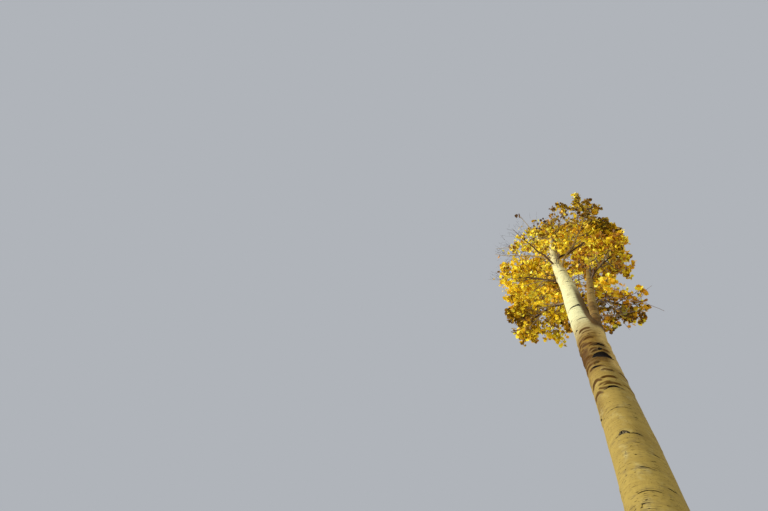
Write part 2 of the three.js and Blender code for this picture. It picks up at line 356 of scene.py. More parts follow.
def fan_map(cells):
    """Two small discs in the corner of the map for the ends of a tube."""
    a = 2 * math.pi * np.arange(cells + 1) / cells
    spots = []
    for middle in ((0.988, 0.012), (0.988, 0.036)):
        rim = np.stack((middle[0] + 0.008 * np.cos(a), middle[1] + 0.008 * np.sin(a)), -1)
        uv = np.empty((cells, 3, 2))
        uv[:, 0] = middle
        uv[:, 1] = rim[1:]
        uv[:, 2] = rim[:-1]
        spots.append(uv.reshape(-1, 2))
    return np.concatenate(spots)


def frames_along(path):
    """Two directions square to a path at each of its points, without twist."""
    ahead = np.gradient(path, axis=0)
    ahead /= np.linalg.norm(ahead, axis=1, keepdims=True)
    side = np.empty_like(path)
    first = np.cross(ahead[0], (0, 0, 1.0))
    if np.linalg.norm(first) < 1e-3:
        first = np.array((1.0, 0, 0))
    side[0] = first / np.linalg.norm(first)
    for n in range(1, len(path)):
        s = side[n - 1] - ahead[n] * (side[n - 1] @ ahead[n])
        side[n] = s / np.linalg.norm(s)
    return side, np.cross(ahead, side)


# ------------------------------------------------------------- marks on the bark
# Branch scars and cracks. height (m), angle (deg, -90 faces the camera), half
# width, half thickness, how far the ends hang and how far the right end rises
# (mm), kind: 0 thin crack, 1 black branch scar, 2 eye with a pale rough middle

SCARS = [
    (5.590, -104, 64, 19, 2, 4, 1),
    (5.604, -77, 20, 27, 0, 6, 1),
    (5.158, -88, 50, 9, 8, -6, 0),
    (4.952, -137, 13, 13, 4, 0, 1),
    (4.505, -67, 60, 17, 24, 4, 1),
    (4.402, -77, 12, 15, 0, 0, 1),
    (4.318, -74, 74, 45, 14, -2, 1),
    (4.186, -105, 14, 9, 2, 0, 1),
    (4.140, -112, 34, 6, 2, -12, 0),
    (4.060, -72, 26, 4.5, 2, 0, 0),
    (3.842, -82, 36, 12, 5, 0, 1),
    (3.838, -83, 60, 5.5, 14, 2, 0),
    (3.612, -98, 66, 2.4, 8, 6, 0),
    (3.655, -58, 12, 3.6, 0, 0, 0),
    (3.532, -58, 12, 3.4, 0, 0, 0),
    (3.388, -101, 27, 12, 5, 0, 2),
    (3.378, -74, 28, 4.2, 6, -2, 0),
    (3.374, -121, 9, 2.2, 3, 0, 0),
    (3.345, -98, 4, 3.4, 0, 0, 0),
    (3.312, -80, 14, 2.0, 0, 0, 0),
    (3.286, -95, 5, 2.0, 0, 0, 0),
    (3.226, -92, 7, 2.4, 0, 0, 0),
    (3.250, -113, 4, 2.8, 0, 0, 0),
    (3.146, -84, 26, 2.5, 3, 0, 0),
    (3.155, -124, 5, 2.6, 0, 0, 0),
    (3.120, -105, 4, 2.8, 0, 0, 0),
    (3.250, -47, 15, 2.8, 0, 0, 0),
    (3.050, -45, 16, 3.0, 0, 0, 0),
    (3.012, -90, 48, 2.6, 8, 2, 0),
    (2.952, -107, 8, 2.8, -2, 0, 0),
    (2.936, -113, 6, 2.4, 0, 0, 0),
    (2.926, -101, 5, 2.4, 0, 0, 0),
    (2.968, -99, 4, 2.2, 0, 0, 0),
    (7.535, -68, 52, 24, 4, 34, 1),
    (6.735, -83, 20, 12, 2, 0, 1),
    (6.500, -72, 34, 5, 2, 0, 0),
    (6.080, -108, 12, 5, 0, 0, 0),
    (5.905, -84, 14, 6, 0, 0, 0),
    (8.190, -78, 30, 10, 4, 0, 0),
    (8.780, -92, 34, 12, 4, 0, 0),
]

# Folds of bark under the fork: height (m), angle (deg), half width, how far the
# upper lip stands out, how far the ends hang, how far down the underside and the
# painted shade on it go, and how far the right end rises (mm)
FOLDS = (
    (4.955, -143, 30, 5, 5, 11, 0),
    (4.862, -100, 54, 13, 18, 15, -4),
    (4.800, -94, 42, 7, 12, 11, -4),
    (4.766, -134, 52, 4, 13, 11, 4),
    (4.684, -137, 46, 8, 6, 15, 0),
    (4.668, -102, 42, 10, 12, 13, 0),
    (4.735, -82, 38, 6, 9, 10, 0),
    (4.604, -147, 60, 8, 11, 17, 4),
    (4.566, -116, 52, 11, 9, 17, -4),
    (4.528, -153, 42, 7, 6, 15, 0),
    (4.524, -72, 62, 13, 10, 13, 6),
    (4.452, -139, 47, 5, 10, 11, 5),
    (4.420, -97, 30, 10, 7, 17, 0),
    (4.396, -72, 72, 12, 24, 13, 0),
    (4.348, -136, 66, 8, 8, 15, -5),
    (4.272, -147, 46, 7, 10, 15, 6),
    (4.262, -106, 28, 6, 6, 11, -4),
    (4.214, -142, 63, 8, 6, 16, -5),
    (4.196, -104, 24, 8, 5, 12, 0),
    (4.136, -114, 57, 10, 2, 12, -16),
    (4.072, -82, 42, 7, 7, 13, 0),
    (3.968, -132, 52, 10, 38, 14, 4),
    (3.968, -86, 46, 9, 6, 14, 0),
    (3.902, -104, 42, 7, 9, 11, -3),
    (3.888, -84, 54, 8, 8, 12, 0),
    (3.836, -141, 49, 8, 18, 16, -5),
    (3.852, -111, 36, 8, -5, 12, -7),
    (3.702, -147, 42, 2, 11, 22, 0),
    (3.618, -100, 74, 2.2, 10, 6, 0),
    (4.700, -40, 40, 7, 10, 13, 6),
    (4.600, -26, 50, 7, 14, 12, 0),
    (4.440, -20, 60, 8, 20, 14, 0),
    (4.250, -14, 60, 7, 16, 12, 0),
    (4.080, -24, 50, 6, 14, 12, 0),
    (3.900, -30, 54, 5, 12, 10, 0),
)

# Knots: height (m), angle (deg), half width and half height, how far out (mm)
KNOTS = (
    (9.420, -150, 26, 50, 24),
    (8.560, -28, 22, 50, 12),
    (7.640, -30, 34, 70, 9),
    (10.450, -160, 20, 44, 12),
    (5.640, -84, 60, 34, 5),
    (3.400, -98, 52, 46, 5),
    (4.400, -74, 80, 60, 7),
    (6.790, -83, 36, 40, 4),
)


def more_scars():
    """Scars and cracks for the rest of the stem, kept apart from those above."""
    found = list(SCARS)

    def clear(height, angle, room_z, room_a):
        for z, a, *_ in found:
            turn = (angle - a + 180) % 360 - 180
            if abs(height - z) < room_z and abs(turn) < room_a:
                return False
        return True

    def shown(height, angle):
        return -155 < angle < -25 and 2.85 < height < 8.4

    tries = 0
    while len(found) < len(SCARS) + 54 and tries < 4000:
        tries += 1
        height = rng.uniform(0.7, 14.2)
        angle = rng.uniform(-180, 180)
        if shown(height, angle) or not clear(height, angle, 0.24, 60):
            continue
        size = through(TRUNK, 3, height) / 0.217
        eye = rng.random() < 0.3
        found.append(
            (
                height,
                angle,
                rng.uniform(34, 66) * size,
                rng.uniform(9, 26) * size,
                rng.uniform(2, 22) * size,
                rng.uniform(-8, 8),
                2 if eye else 1,
            )
        )
    tries = 0
    while len(found) < len(SCARS) + 54 + 150 and tries < 8000:
        tries += 1
        height = rng.uniform(0.5, 14.4)
        angle = rng.uniform(-180, 180)
        if (shown(height, angle) and rng.random() < 0.9) or not clear(height, angle, 0.07, 34):
            continue
        size = through(TRUNK, 3, height) / 0.217
        found.append(
            (
                height,
                angle,
                rng.uniform(10, 56) * size,
                rng.uniform(1.8, 4.0),
                rng.uniform(0, 10) * size,
                rng.uniform(-4, 4),
                0,
            )
        )
    return found


def scar_fields(height, angle, radius, scars, reach=0.08):
    """For each point of a stem: the distance up or down to the middle line of the
    nearest scar, half that scar's thickness there (below 0 past its ends), its
    kind, the relief that it adds, and how near it is."""
    q = np.full(np.broadcast(height, angle).shape, reach)
    t = np.full(q.shape, -0.02)
    kind = np.zeros(q.shape)
    relief = np.zeros(q.shape)
    best = np.full(q.shape, 9.0)
    height, angle = np.broadcast_arrays(height, angle)
    for z, a, half, thick, hang, tilt, what in scars:
        half, thick, hang, tilt = half / 1000, thick / 1000, hang / 1000, tilt / 1000
        rows = np.abs(height[:, 0] - z) < thick * 3 + (abs(hang) + abs(tilt)) * 2.4 + 0.06
        if not rows.any():
            continue
        h = height[rows]
        turn = (angle[rows] - math.radians(a) + math.pi) % (2 * math.pi) - math.pi
        along = turn * radius[rows]
        share = along / half
        line = z - hang * np.minimum(share**2, 2.2) + tilt * np.clip(share, -1.4, 1.4)
        off = h - line
        body = thick * np.clip(1 - np.abs(share) ** (1.9 if what else 2.6), 0, 1) ** 0.62
        body = np.where(np.abs(share) > 1, -(np.abs(share) - 1) * half * 0.35, body)
        near = np.abs(off) - body
        ends = smooth(1.35, 0.8, np.abs(share))
        # a groove in the middle, with a lip over and under it
        depth = {0: 0.0013, 1: 0.0048, 2: 0.0032}[what]
        groove = np.exp(-((off / (0.75 * thick + 0.004)) ** 2))
        lip = np.exp(-(((np.abs(off) - thick - 0.007) / 0.009) ** 2))
        shape = ends * depth * (-groove + 0.8 * lip)
        nearer = near < best[rows]
        best[rows] = np.where(nearer, near, best[rows])
        q[rows] = np.where(nearer, np.clip(off, -reach, reach), q[rows])
        t[rows] = np.where(nearer, body, t[rows])
        kind[rows] = np.where(nearer, what, kind[rows])
        relief[rows] = relief[rows] + shape
    halo = np.exp(-np.maximum(best, 0) / 0.018)
    return q, t, kind, relief, halo


def fold_fields(height, angle, radius, folds):
    """Folds of slack bark: each stands out and fades upward, and a band under its lip
    is painted dark as painted shade.
    """
    relief = np.zeros(np.broadcast(height, angle).shape)
    crease = np.zeros(relief.shape)
    height, angle = np.broadcast_arrays(height, angle)
    for z, a, half, depth, hang, thick, tilt in folds:
        half, depth, hang = half / 1000, depth / 1000, hang / 1000
        thick, tilt = thick / 1000, tilt / 1000
        rows = np.abs(height[:, 0] - z) < 0.13 + 2.2 * (abs(hang) + thick)
        if not rows.any():
            continue
        turn = (angle[rows] - math.radians(a) + math.pi) % (2 * math.pi) - math.pi
        share = turn * radius[rows] / half
        line = z - hang * np.minimum(share**2, 2.0) + tilt * np.clip(share, -1.3, 1.3)
        off = height[rows] - line
        ends = smooth(1.35, 0.55, np.abs(share))
        over = np.exp(-np.maximum(off, 0) / 0.034) * smooth(-0.45 * thick, 0.35 * thick, off)
        under = np.exp(-np.maximum(-off, 0) / thick) * smooth(0.0, -0.6 * thick, off)
        relief[rows] += ends * depth * (0.80 * over - 0.40 * under)
        # painted shade: a dark band under each fold's lip, returned as crease
        dark = np.exp(-(((off + 0.45 * thick) / (0.80 * thick)) ** 2))
        crease[rows] = np.maximum(crease[rows], dark * ends * min(1, depth / 0.011))
    return relief, crease


# --------------------------------------------------------------------- materials


def lin(red, green, blue):
    """An sRGB colour, 0 to 255, as the linear colour that a shader takes."""
    return tuple(
        (c / 12.92 if c <= 0.04045 else ((c + 0.055) / 1.055) ** 2.4)
        for c in (red / 255, green / 255, blue / 255)
    ) + (1.0,)


class Graph:
    """Shorthand for building a material's nodes."""

    def __init__(self, name):
        self.material = bpy.data.materials.new(name)
        self.material.use_nodes = True
        self.tree = self.material.node_tree
        self.tree.nodes.clear()
        self.out = self.tree.nodes.new("ShaderNodeOutputMaterial")

    def add(self, kind, inputs=None, **settings):
        made = self.tree.nodes.new(kind)
        for key, value in settings.items():
            setattr(made, key, value)
        for key, value in (inputs or {}).items():
            self.set(made.inputs[key], value)
        return made

    def set(self, socket, value):
        if isinstance(value, bpy.types.NodeSocket):
            self.tree.links.new(value, socket)
        else:
            socket.default_value = value

    def place(self):
        return self.add("ShaderNodeTexCoord").outputs["Object"]

    def stretched(self, vector, by):
        return self.add(
            "ShaderNodeVectorMath", {0: vector, 1: by}, operation="MULTIPLY"
        ).outputs[0]

    def noise(self, vector, scale=1.0, detail=2.0, rough=0.5, distortion=0.0):
        return self.add(
            "ShaderNodeTexNoise",
            {
                "Vector": vector,
                "Scale": scale,
                "Detail": detail,
                "Roughness": rough,
                "Distortion": distortion,
            },
        ).outputs[0]

    def value(self, name):
        return self.add("ShaderNodeAttribute", attribute_name=name).outputs["Fac"]

    def math(self, operation, a, b=0.0, c=0.0, clamp=False):
        made = self.add("ShaderNodeMath", operation=operation, use_clamp=clamp)
        self.set(made.inputs[0], a)
        self.set(made.inputs[1], b)
        if operation in ("MULTIPLY_ADD", "SMOOTH_MIN", "SMOOTH_MAX"):
            self.set(made.inputs[2], c)
        return made.outputs[0]

    def step(self, value, low, high, to_low=0.0, to_high=1.0):
        return self.add(
            "ShaderNodeMapRange",
            {
                "Value": value,
                "From Min": low,
                "From Max": high,
                "To Min": to_low,
                "To Max": to_high,
            },
            interpolation_type="SMOOTHSTEP",
        ).outputs[0]

    def mix(self, share, a, b, blend="MIX"):
        made = self.add("ShaderNodeMix", data_type="RGBA", blend_type=blend)
        made.clamp_factor = True
        self.set(made.inputs[0], share)
        self.set(made.inputs[6], a)
        self.set(made.inputs[7], b)
        return made.outputs[2]

    def ramp(self, value, stops):
        made = self.add("ShaderNodeValToRGB", {"Fac": value})
        elements = made.color_ramp.elements
        while len(elements) < len(stops):
            elements.new(0.5)
        for element, (at, colour) in zip(elements, stops):
            element.position = at
            element.color = colour
        return made.outputs[0]


def bark(name, stops, dark, brown, wax, lenticels=1.0, tall=15.2, blond=None):
    """Smooth aspen bark: waxy cream to tan, fine rings, dark dashes, black scars,
    rough dark bark where the attribute foot says so, brown bark and painted shade
    where the attribute fold says so, and painted light where the trunk's attribute for it says so."""
    g = Graph(name)
    place = g.place()
    z = g.add("ShaderNodeSeparateXYZ", {0: place}).outputs[2]
    base = g.ramp(g.math("DIVIDE", z, tall), stops)
    # painted light: a lighter colour where that attribute says so, on a side that lies in shade
    if blond:
        base = g.mix(g.value("blond"), base, blond)

    # cloudy patches of a greener and a whiter wax
    cloud = g.noise(g.stretched(place, (1, 1, 0.6)), 6.0, 4.0, 0.6, 0.5)
    base = g.mix(g.step(cloud, 0.48, 0.74, 0.0, 0.50), base, brown)
    pale = g.noise(g.stretched(place, (1, 1, 0.8)), 15.0, 3.0, 0.6, 0.2)
    base = g.mix(g.step(pale, 0.54, 0.78, 0.0, 0.24), base, wax)
    # broad and fine rings round the stem
    ring = g.noise(g.stretched(place, (3, 3, 34)), 1.0, 3.0, 0.6, 0.5)
    base = g.mix(g.step(ring, 0.30, 0.70, 0.20, 0.0), base, brown, "MULTIPLY")
    line = g.noise(g.stretched(place, (8, 8, 210)), 1.0, 2.0, 0.6, 0.3)
    base = g.mix(g.step(line, 0.58, 0.72, 0.0, 0.30), base, brown)

    # brown where the attribute fold says so: real brown bark, ring creases and knots,
    # and on the trunk and leader also painted shade under the folds, at the fork and
    # on the sides where shade falls
    fold = g.value("fold")
    torn = g.noise(g.stretched(place, (30, 30, 120)), 1.0, 3.0, 0.6)
    deep = g.math("MULTIPLY_ADD", g.math("SUBTRACT", torn, 0.5), 0.5, fold)
    base = g.mix(g.step(deep, 0.08, 0.66, 0.0, 0.92), base, lin(84, 52, 12))

    # dark dashes and dots, in loose bands
    band = g.noise(g.stretched(place, (3, 3, 5)), 1.0, 2.0, 0.5)
    dash = g.noise(g.stretched(place, (34, 34, 270)), 1.0, 1.0, 0.4)
    dashes = g.math(
        "MULTIPLY", g.step(dash, 0.665, 0.70), g.step(band, 0.42, 0.60)
    )
    small = g.noise(g.stretched(place, (85, 85, 420)), 1.0, 1.0, 0.4)
    dots = g.math("MULTIPLY", g.step(small, 0.69, 0.72), g.step(band, 0.62, 0.46))
    marks = g.math("MULTIPLY", g.math("MAXIMUM", dashes, dots), lenticels, clamp=True)
    base = g.mix(g.math("MULTIPLY", marks, 0.86), base, dark)

    # scars: the attribute scar_q is how far off the middle line a point is, and
    # scar_t half the thickness of the scar there, both in centimetres
    off = g.math("ABSOLUTE", g.value("scar_q"))
    rough = g.noise(g.stretched(place, (70, 70, 110)), 1.0, 3.0, 0.6)
    inside = g.math("SUBTRACT", g.value("scar_t"), off)
    ragged = g.math("MULTIPLY_ADD", g.math("SUBTRACT", rough, 0.5), 0.55, inside)
    scar = g.step(ragged, -0.06, 0.10)
    halo = g.value("halo")
    soot = g.noise(g.stretched(place, (26, 26, 60)), 1.0, 4.0, 0.65)
    stain = g.math(
        "MULTIPLY", g.step(soot, 0.46, 0.66), g.math("MULTIPLY", halo, 0.75)
    )
    base = g.mix(stain, base, lin(112, 98, 66))
    inner = g.noise(g.stretched(place, (120, 120, 160)), 1.0, 2.0, 0.6)
    core = g.mix(g.step(inner, 0.52, 0.66, 0.0, 0.25), dark, lin(56, 42, 24))
    kind = g.value("scar_k")
    eye = g.math("MULTIPLY", g.step(kind, 1.4, 1.8), g.step(inside, 0.20, 0.55))
    core = g.mix(g.math("MULTIPLY", eye, g.step(inner, 0.50, 0.60)), core, lin(168, 148, 108))
    base = g.mix(scar, base, core)

    # furrowed bark at the foot
    foot = g.value("foot")
    plates = g.add(
        "ShaderNodeTexVoronoi",
        {"Vector": g.stretched(place, (26, 26, 11)), "Scale": 1.0, "Randomness": 0.9},
        feature="DISTANCE_TO_EDGE",
    ).outputs["Distance"]
    crack = g.step(plates, 0.16, 0.02)
    cork = g.noise(g.stretched(place, (40, 40, 24)), 1.0, 4.0, 0.65)
    old = g.ramp(
        cork,
        (
            (0.25, lin(34, 29, 22)),
            (0.48, lin(78, 68, 50)),
            (0.62, lin(120, 108, 84)),
            (0.80, lin(152, 142, 112)),
        ),
    )
    old = g.mix(g.math("MULTIPLY", crack, 0.85), old, lin(26, 21, 16))
    patchy = g.math("MULTIPLY_ADD", g.math("SUBTRACT", cork, 0.5), 0.9, foot)
    base = g.mix(g.step(patchy, 0.34, 0.62), base, old)

    # relief too fine for the mesh
    wrinkle = g.noise(g.stretched(place, (10, 10, 130)), 1.0, 3.0, 0.55, 0.3)
    grain = g.noise(g.stretched(place, (160, 160, 260)), 1.0, 2.0, 0.5)
    relief = g.math("MULTIPLY_ADD", grain, 0.16, g.math("MULTIPLY", wrinkle, 0.42))
    relief = g.math("MULTIPLY_ADD", marks, 0.30, relief)
    relief = g.math("MULTIPLY_ADD", g.math("MULTIPLY", scar, rough), 1.4, relief)
    relief = g.math("MULTIPLY_ADD", g.math("MULTIPLY", crack, foot), -1.6, relief)
    relief = g.math("MULTIPLY_ADD", g.math("MULTIPLY", cork, foot), 1.6, relief)
    bump = g.add("ShaderNodeBump", {"Strength": 0.75, "Distance": 0.0028, "Height": relief})
    shine = g.step(g.math("ADD", g.math("MULTIPLY", scar, 0.5), cork), 0.3, 1.0, 0.66, 0.9)
    shader = g.add(
        "ShaderNodeBsdfPrincipled",
        {"Base Color": base, "Roughness": shine, "Normal": bump.outputs[0]},
    )
    shader.inputs["Specular IOR Level"].default_value = 0.06
    g.tree.links.new(shader.outputs[0], g.out.inputs[0])
    return g.material


def plain(name, colour, rough, specular=0.35, coat=0.0):
    """A surface of one colour, for pieces whose colours are dealt out by spray."""
    g = Graph(name)
    shader = g.add("ShaderNodeBsdfPrincipled")
    shader.inputs["Base Color"].default_value = colour
    shader.inputs["Roughness"].default_value = rough
    shader.inputs["Specular IOR Level"].default_value = specular
    shader.inputs["Coat Weight"].default_value = coat
    g.tree.links.new(shader.outputs[0], g.out.inputs[0])
    return g.material


# by height: dark at the foot; tan below the fork, partly painted shade; a brown band from
# about 4.3 to 4.7 m, partly painted shade among the folds; cream above the fork, darker
# towards the tip
TRUNK_STOPS = (
    (0.00, lin(84, 72, 50)),
    (0.10, lin(150, 128, 72)),
    (0.20, lin(184, 157, 78)),
    (0.26, lin(172, 145, 72)),
    (0.28, lin(146, 114, 48)),
    (0.31, lin(146, 114, 48)),
    (0.35, lin(234, 228, 170)),
    (0.70, lin(238, 222, 156)),
    (1.00, lin(166, 144, 92)),
)
trunk_bark = bark(
    "bark",
    TRUNK_STOPS,
    lin(20, 15, 11),
    lin(134, 108, 52),
    lin(238, 228, 170),
    # painted light for the trunk's shaded right side under the fork
    blond=lin(226, 192, 112),
)
# the second leader's bark: darker than the trunk's, partly as painted shade, and brown below about 5.1 m,
# painted shade where it leaves the trunk
leader_bark = bark(
    "leader_bark",
    ((0.00, lin(122, 90, 42)), (0.335, lin(122, 90, 42)), (0.36, lin(170, 140, 76)), (0.64, lin(148, 117, 52))),
    lin(28, 21, 13),
    lin(96, 70, 30),
    lin(190, 164, 92),
)
# a dark copy of the bough bark, as painted shade for boughs that stand in shade
dark_bough_bark = bark(
    "dark_bough_bark",
    ((0.00, lin(84, 62, 34)), (0.55, lin(88, 64, 34)), (1.00, lin(96, 72, 38))),
    lin(26, 20, 12),
    lin(52, 38, 20),
    lin(140, 114, 70),
    0.9,
)
bough_bark = bark(
    "bough_bark",
    ((0.00, lin(150, 126, 78)), (0.55, lin(158, 134, 84)), (1.00, lin(172, 148, 98))),
    lin(34, 26, 18),
    lin(104, 80, 46),
    lin(200, 180, 128),
    0.9,
)


# ------------------------------------------------------------- boughs: their lines


def rad(degrees):
    return degrees * math.pi / 180


class Mass:
    def __init__(self, row, index):
        (self.name, height, bearing, reach, wide, tall, self.stem, drop, thick, self.full, self.tint) = row
        self.index = index
        self.bearing = rad(bearing)
        self.out = np.array((math.cos(self.bearing), math.sin(self.bearing), 0.0))
        self.wide, self.tall = wide / 1000, tall / 1000
        self.drop, self.thick, self.reach = drop / 1000, thick / 1000, reach / 1000
        self.middle = axis_of(TRUNK, height / 1000) + self.reach * self.out
        node = frame["nodes"]["foliage_" + self.name]
        self.shell = BVHTree.FromPolygons(
            [v.co for v in node.data.vertices], [p.vertices for p in node.data.polygons]
        )

    def surface(self, directions):
        """How far the outside of the mass lies from its middle."""
        found = np.zeros(len(directions))
        for n, d in enumerate(directions):
            start, total = Vector(self.middle), 0.0
            way = Vector(d)
            for _ in range(6):
                hit = self.shell.ray_cast(start, way)
                if hit[0] is None:
                    break
                total += hit[3] + 1e-4
                start = hit[0] + way * 1e-4
                found[n] = total
        return found

    def foot(self):
        """Where the bough leaves the axis of its stem."""
        stations = LEADER if self.stem == "leader" else TRUNK
        return axis_of(stations, self.middle[2] - self.drop)

    def bough(self, count=40, beyond=0.62):
        """The middle line of the bough, on through the mass, and its radius."""
        start = self.foot()
        out = self.middle - start
        lift = min(0.34, 0.16 + 0.12 / self.reach)
        elbow = start + 0.45 * out + np.array((0, 0, lift * 0.5 * self.drop))
        t = np.linspace(0, 1, count)[:, None]
        line = (1 - t) ** 2 * start + 2 * t * (1 - t) * elbow + t**2 * self.middle
        radius = self.thick / 2 * (1 - (1 - BOUGH_TAPER) * t[:, 0])
        # past the middle it turns a little upward and thins to a twig
        ahead = line[-1] - line[-2]
        ahead /= np.linalg.norm(ahead)
        steps = max(8, int(beyond * self.wide * 1.6 / 0.03))
        more, at = [], line[-1]
        for n in range(steps):
            ahead = ahead + np.array((0, 0, 0.035)) + 0.02 * self.out
            ahead /= np.linalg.norm(ahead)
            at = at + ahead * beyond * self.wide * 1.6 / steps
            more.append(at)
        line = np.concatenate((line, more))
        fade = np.linspace(1, 0, steps + 1)[1:] ** 0.8
        radius = np.concatenate((radius, 0.0022 + (radius[-1] - 0.0022) * fade))
        # boughs are never quite straight
        run = np.concatenate(((0,), np.cumsum(np.linalg.norm(np.diff(line, axis=0), axis=1))))
        sway = np.stack(
            [
                noise(np.stack((run * 3.1, run * 0 + 7.7 * k, run * 0 + self.index), -1), 40 + k)
                for k in range(3)
            ],
            -1,
        )
        grown = smooth(0.02, 0.35, run)[:, None]
        line = line + sway * grown * 0.030
        kinks = np.stack(
            [
                noise(np.stack((run * 9.0, run * 0 + 3.3 * k, run * 0 + self.index), -1), 60 + k)
                for k in range(3)
            ],
            -1,
        )
        return line + kinks * grown * 0.009, radius, run


masses = [Mass(row, index) for index, row in enumerate(CROWN)]

# -------------------------------------------------------------------- the trunk


def trunk_rings():
    parts = (
        (0.0, 0.6, 0.0105),
        (0.6, 2.8, 0.0175),
        (2.8, 3.8, 0.0080),
        (3.8, 5.12, 0.0054),
        (5.12, 5.9, 0.0082),
        (5.9, 8.2, 0.0145),
        (8.2, 12.0, 0.0290),
        (12.0, TRUNK_TOP, 0.0340),
    )
    rings = []
    for low, high, gap in parts:
        rings.append(np.linspace(low, high, int(round((high - low) / gap)), endpoint=False))
    return np.concatenate(rings + [np.array((TRUNK_TOP,))])


def build_trunk():
    cells = 90
    height = trunk_rings()[:, None]
    angle = (2 * math.pi * np.arange(cells) / cells)[None, :]
    radius = trunk_radius(height, angle)
    middle = axis_of(TRUNK, height[:, 0])
    thick = through(TRUNK, 3, height) / 0.217  # 1 where the stem is 217 mm thick
    turn = np.stack(
        np.broadcast_arrays(np.cos(angle) * 0.108, np.sin(angle) * 0.108, height), -1
    )

    # an old stem is never a true round
    relief = 0.0024 * thick * noise(turn * (9, 9, 1.7), 1)
    relief = relief + 0.0013 * thick * layered(turn * (20, 20, 5.5), 2)
    # shallow bands where a ring of old branches stood
    relief = relief + 0.0016 * thick * noise(turn * (3, 3, 9.0), 3)

    # folds of slack bark under the fork
    under = np.exp(-(((height - 4.5) / 0.52) ** 2))
    folds = list(FOLDS)
    dice = np.random.default_rng(SEED + 3)
    for _ in range(46):
        z = dice.uniform(3.85, 5.15)
        folds.append(
            (
                z,
                dice.uniform(-20, 195),
                dice.uniform(26, 66),
                dice.uniform(4, 11) * math.exp(-(((z - 4.5) / 0.5) ** 2)),
                dice.uniform(4, 22),
                dice.uniform(8, 16),
                dice.uniform(-6, 6),
            )
        )
    grid = np.broadcast_to(height, radius.shape), np.broadcast_to(angle, radius.shape), radius
    wavy = (
        grid[0] + 0.010 * noise(turn * (10, 10, 7), 4) + 0.004 * noise(turn * (30, 30, 20), 5),
        grid[1] + 0.05 * noise(turn * (6, 6, 12), 6),
        radius,
    )
    ledge, fold = fold_fields(*wavy, folds)
    relief = relief + ledge
    # finer wrinkles between them, painted dark along their lines as painted shade, and
    # browner patches, partly bark tone and partly painted shade among the wrinkles
    slack = np.exp(-(((height - 4.42) / 0.30) ** 2))
    crumple = np.exp(-((noise(turn * (12, 12, 24), 31) / 0.15) ** 2))
    relief = relief - 0.0034 * crumple * slack
    fold = np.maximum(fold, 0.45 * crumple * slack * smooth(-0.30, 0.35, noise(turn * (5, 5, 9), 32)))
    fold = np.maximum(fold, 0.62 * slack * smooth(-0.40, 0.30, noise(turn * (7, 7, 13), 33)))
    phase = height / 0.038 + 1.3 * noise(turn * (9, 9, 6), 13) + 0.6 * noise(turn * (24, 24, 12), 14)
    relief = relief + 0.0010 * np.cos(2 * math.pi * phase) * under
    # the same, faint, all the way up
    phase = height / 0.115 + 0.9 * noise(turn * (8, 8, 3), 7)
    part = phase - np.floor(phase)
    faint = np.exp(-(((part - 0.5) / 0.10) ** 2)) * smooth(0.05, 0.5, noise(turn * (9, 9, 10), 8))
    relief = relief - 0.0012 * thick * faint
    fold = np.clip(fold + 0.16 * faint * smooth(1.2, 2.2, height), 0, 1)
    for z, a, half, tall, out in KNOTS:
        away = ((angle - rad(a) + math.pi) % (2 * math.pi) - math.pi) * radius / (half / 1000)
        relief = relief + out / 1000 * np.exp(-(away**2) - ((height - z) / (tall / 1000)) ** 2)

    # painted shade: a stretch of brown on the trunk's sunward side at about 3.7 m, under the folds
    aside = np.abs((angle - rad(-152) + math.pi) % (2 * math.pi) - math.pi)
    aside = aside + 0.16 * noise(turn * (7, 7, 9), 36)
    below = np.exp(-(((height - 3.74) / 0.17) ** 2))
    fold = np.maximum(fold, 0.38 * smooth(rad(42), rad(4), aside) * below)

    # scars
    scars = more_scars()
    q, t, kind, marks, halo = scar_fields(
        np.broadcast_to(height, radius.shape), np.broadcast_to(angle, radius.shape), radius, scars
    )
    relief = relief + marks

    # furrows at the foot, deepest on the buttresses
    foot = np.exp(-np.maximum(height - 0.18, 0) / 0.36)
    foot = np.clip(foot + 0.22 * noise(turn * (14, 14, 4), 9), 0, 1) * np.ones_like(radius)
    ridge = 1 - np.abs(noise(turn * (24, 24, 4.2), 10))
    split = 1 - np.abs(noise(turn * (18, 18, 15), 11))
    rough = smooth(0.30, 0.80, foot)
    relief = relief - rough * (0.0062 * ridge**5 + 0.0030 * split**6)
    relief = relief + rough * 0.0022 * layered(turn * (46, 46, 26), 12, 2)

    # a collar of bark round the foot of each bough, and the ridge over it
    place = middle[:, None, :] + np.stack(
        (radius * np.cos(angle), radius * np.sin(angle), np.zeros_like(radius)), -1
    )
    for mass in masses:
        if mass.stem != "trunk" or mass.drop <= 0:
            continue
        line, thin, run = mass.bough()
        near = line[run < 0.34]
        rows = np.abs(height[:, 0] - near[0][2]) < 0.42
        here = place[rows]
        gap = np.full(here.shape[:2], 9.0)
        for spot in near:
            gap = np.minimum(gap, np.linalg.norm(here - spot, axis=-1))
        r = mass.thick / 2
        collar = np.exp(-((np.maximum(gap - 0.6 * r, 0) / (1.1 * r)) ** 2))
        relief[rows] += 0.55 * r * collar
        # dark ridge where the bark of the two has folded together
        ridge_line = np.exp(-(((gap - 2.1 * r) / (0.45 * r)) ** 2))
        over = here[..., 2] > near[0][2] + 0.02
        fold[rows] = np.maximum(fold[rows], 0.55 * ridge_line * over)

    # the trunk rises round the second leader where the two part
    stem = axis_of(LEADER, np.clip(height[:, 0], LEADER_FOOT, LEADER_TIP))
    stem_r = through(LEADER, 3, height[:, 0]) / 2
    gap = np.linalg.norm(place - stem[:, None, :], axis=-1) - stem_r[:, None]
    beside = np.exp(-((np.maximum(gap, 0) / 0.028) ** 2)) * smooth(4.5, 4.8, height) * smooth(5.6, 5.25, height)
    relief = relief + 0.012 * beside
    # painted shade: a dark line along the join with the second leader
    seam = np.exp(-(((gap - 0.003) / 0.012) ** 2)) * smooth(4.90, 5.02, height) * smooth(5.6, 5.3, height)
    fold = np.maximum(fold, seam)
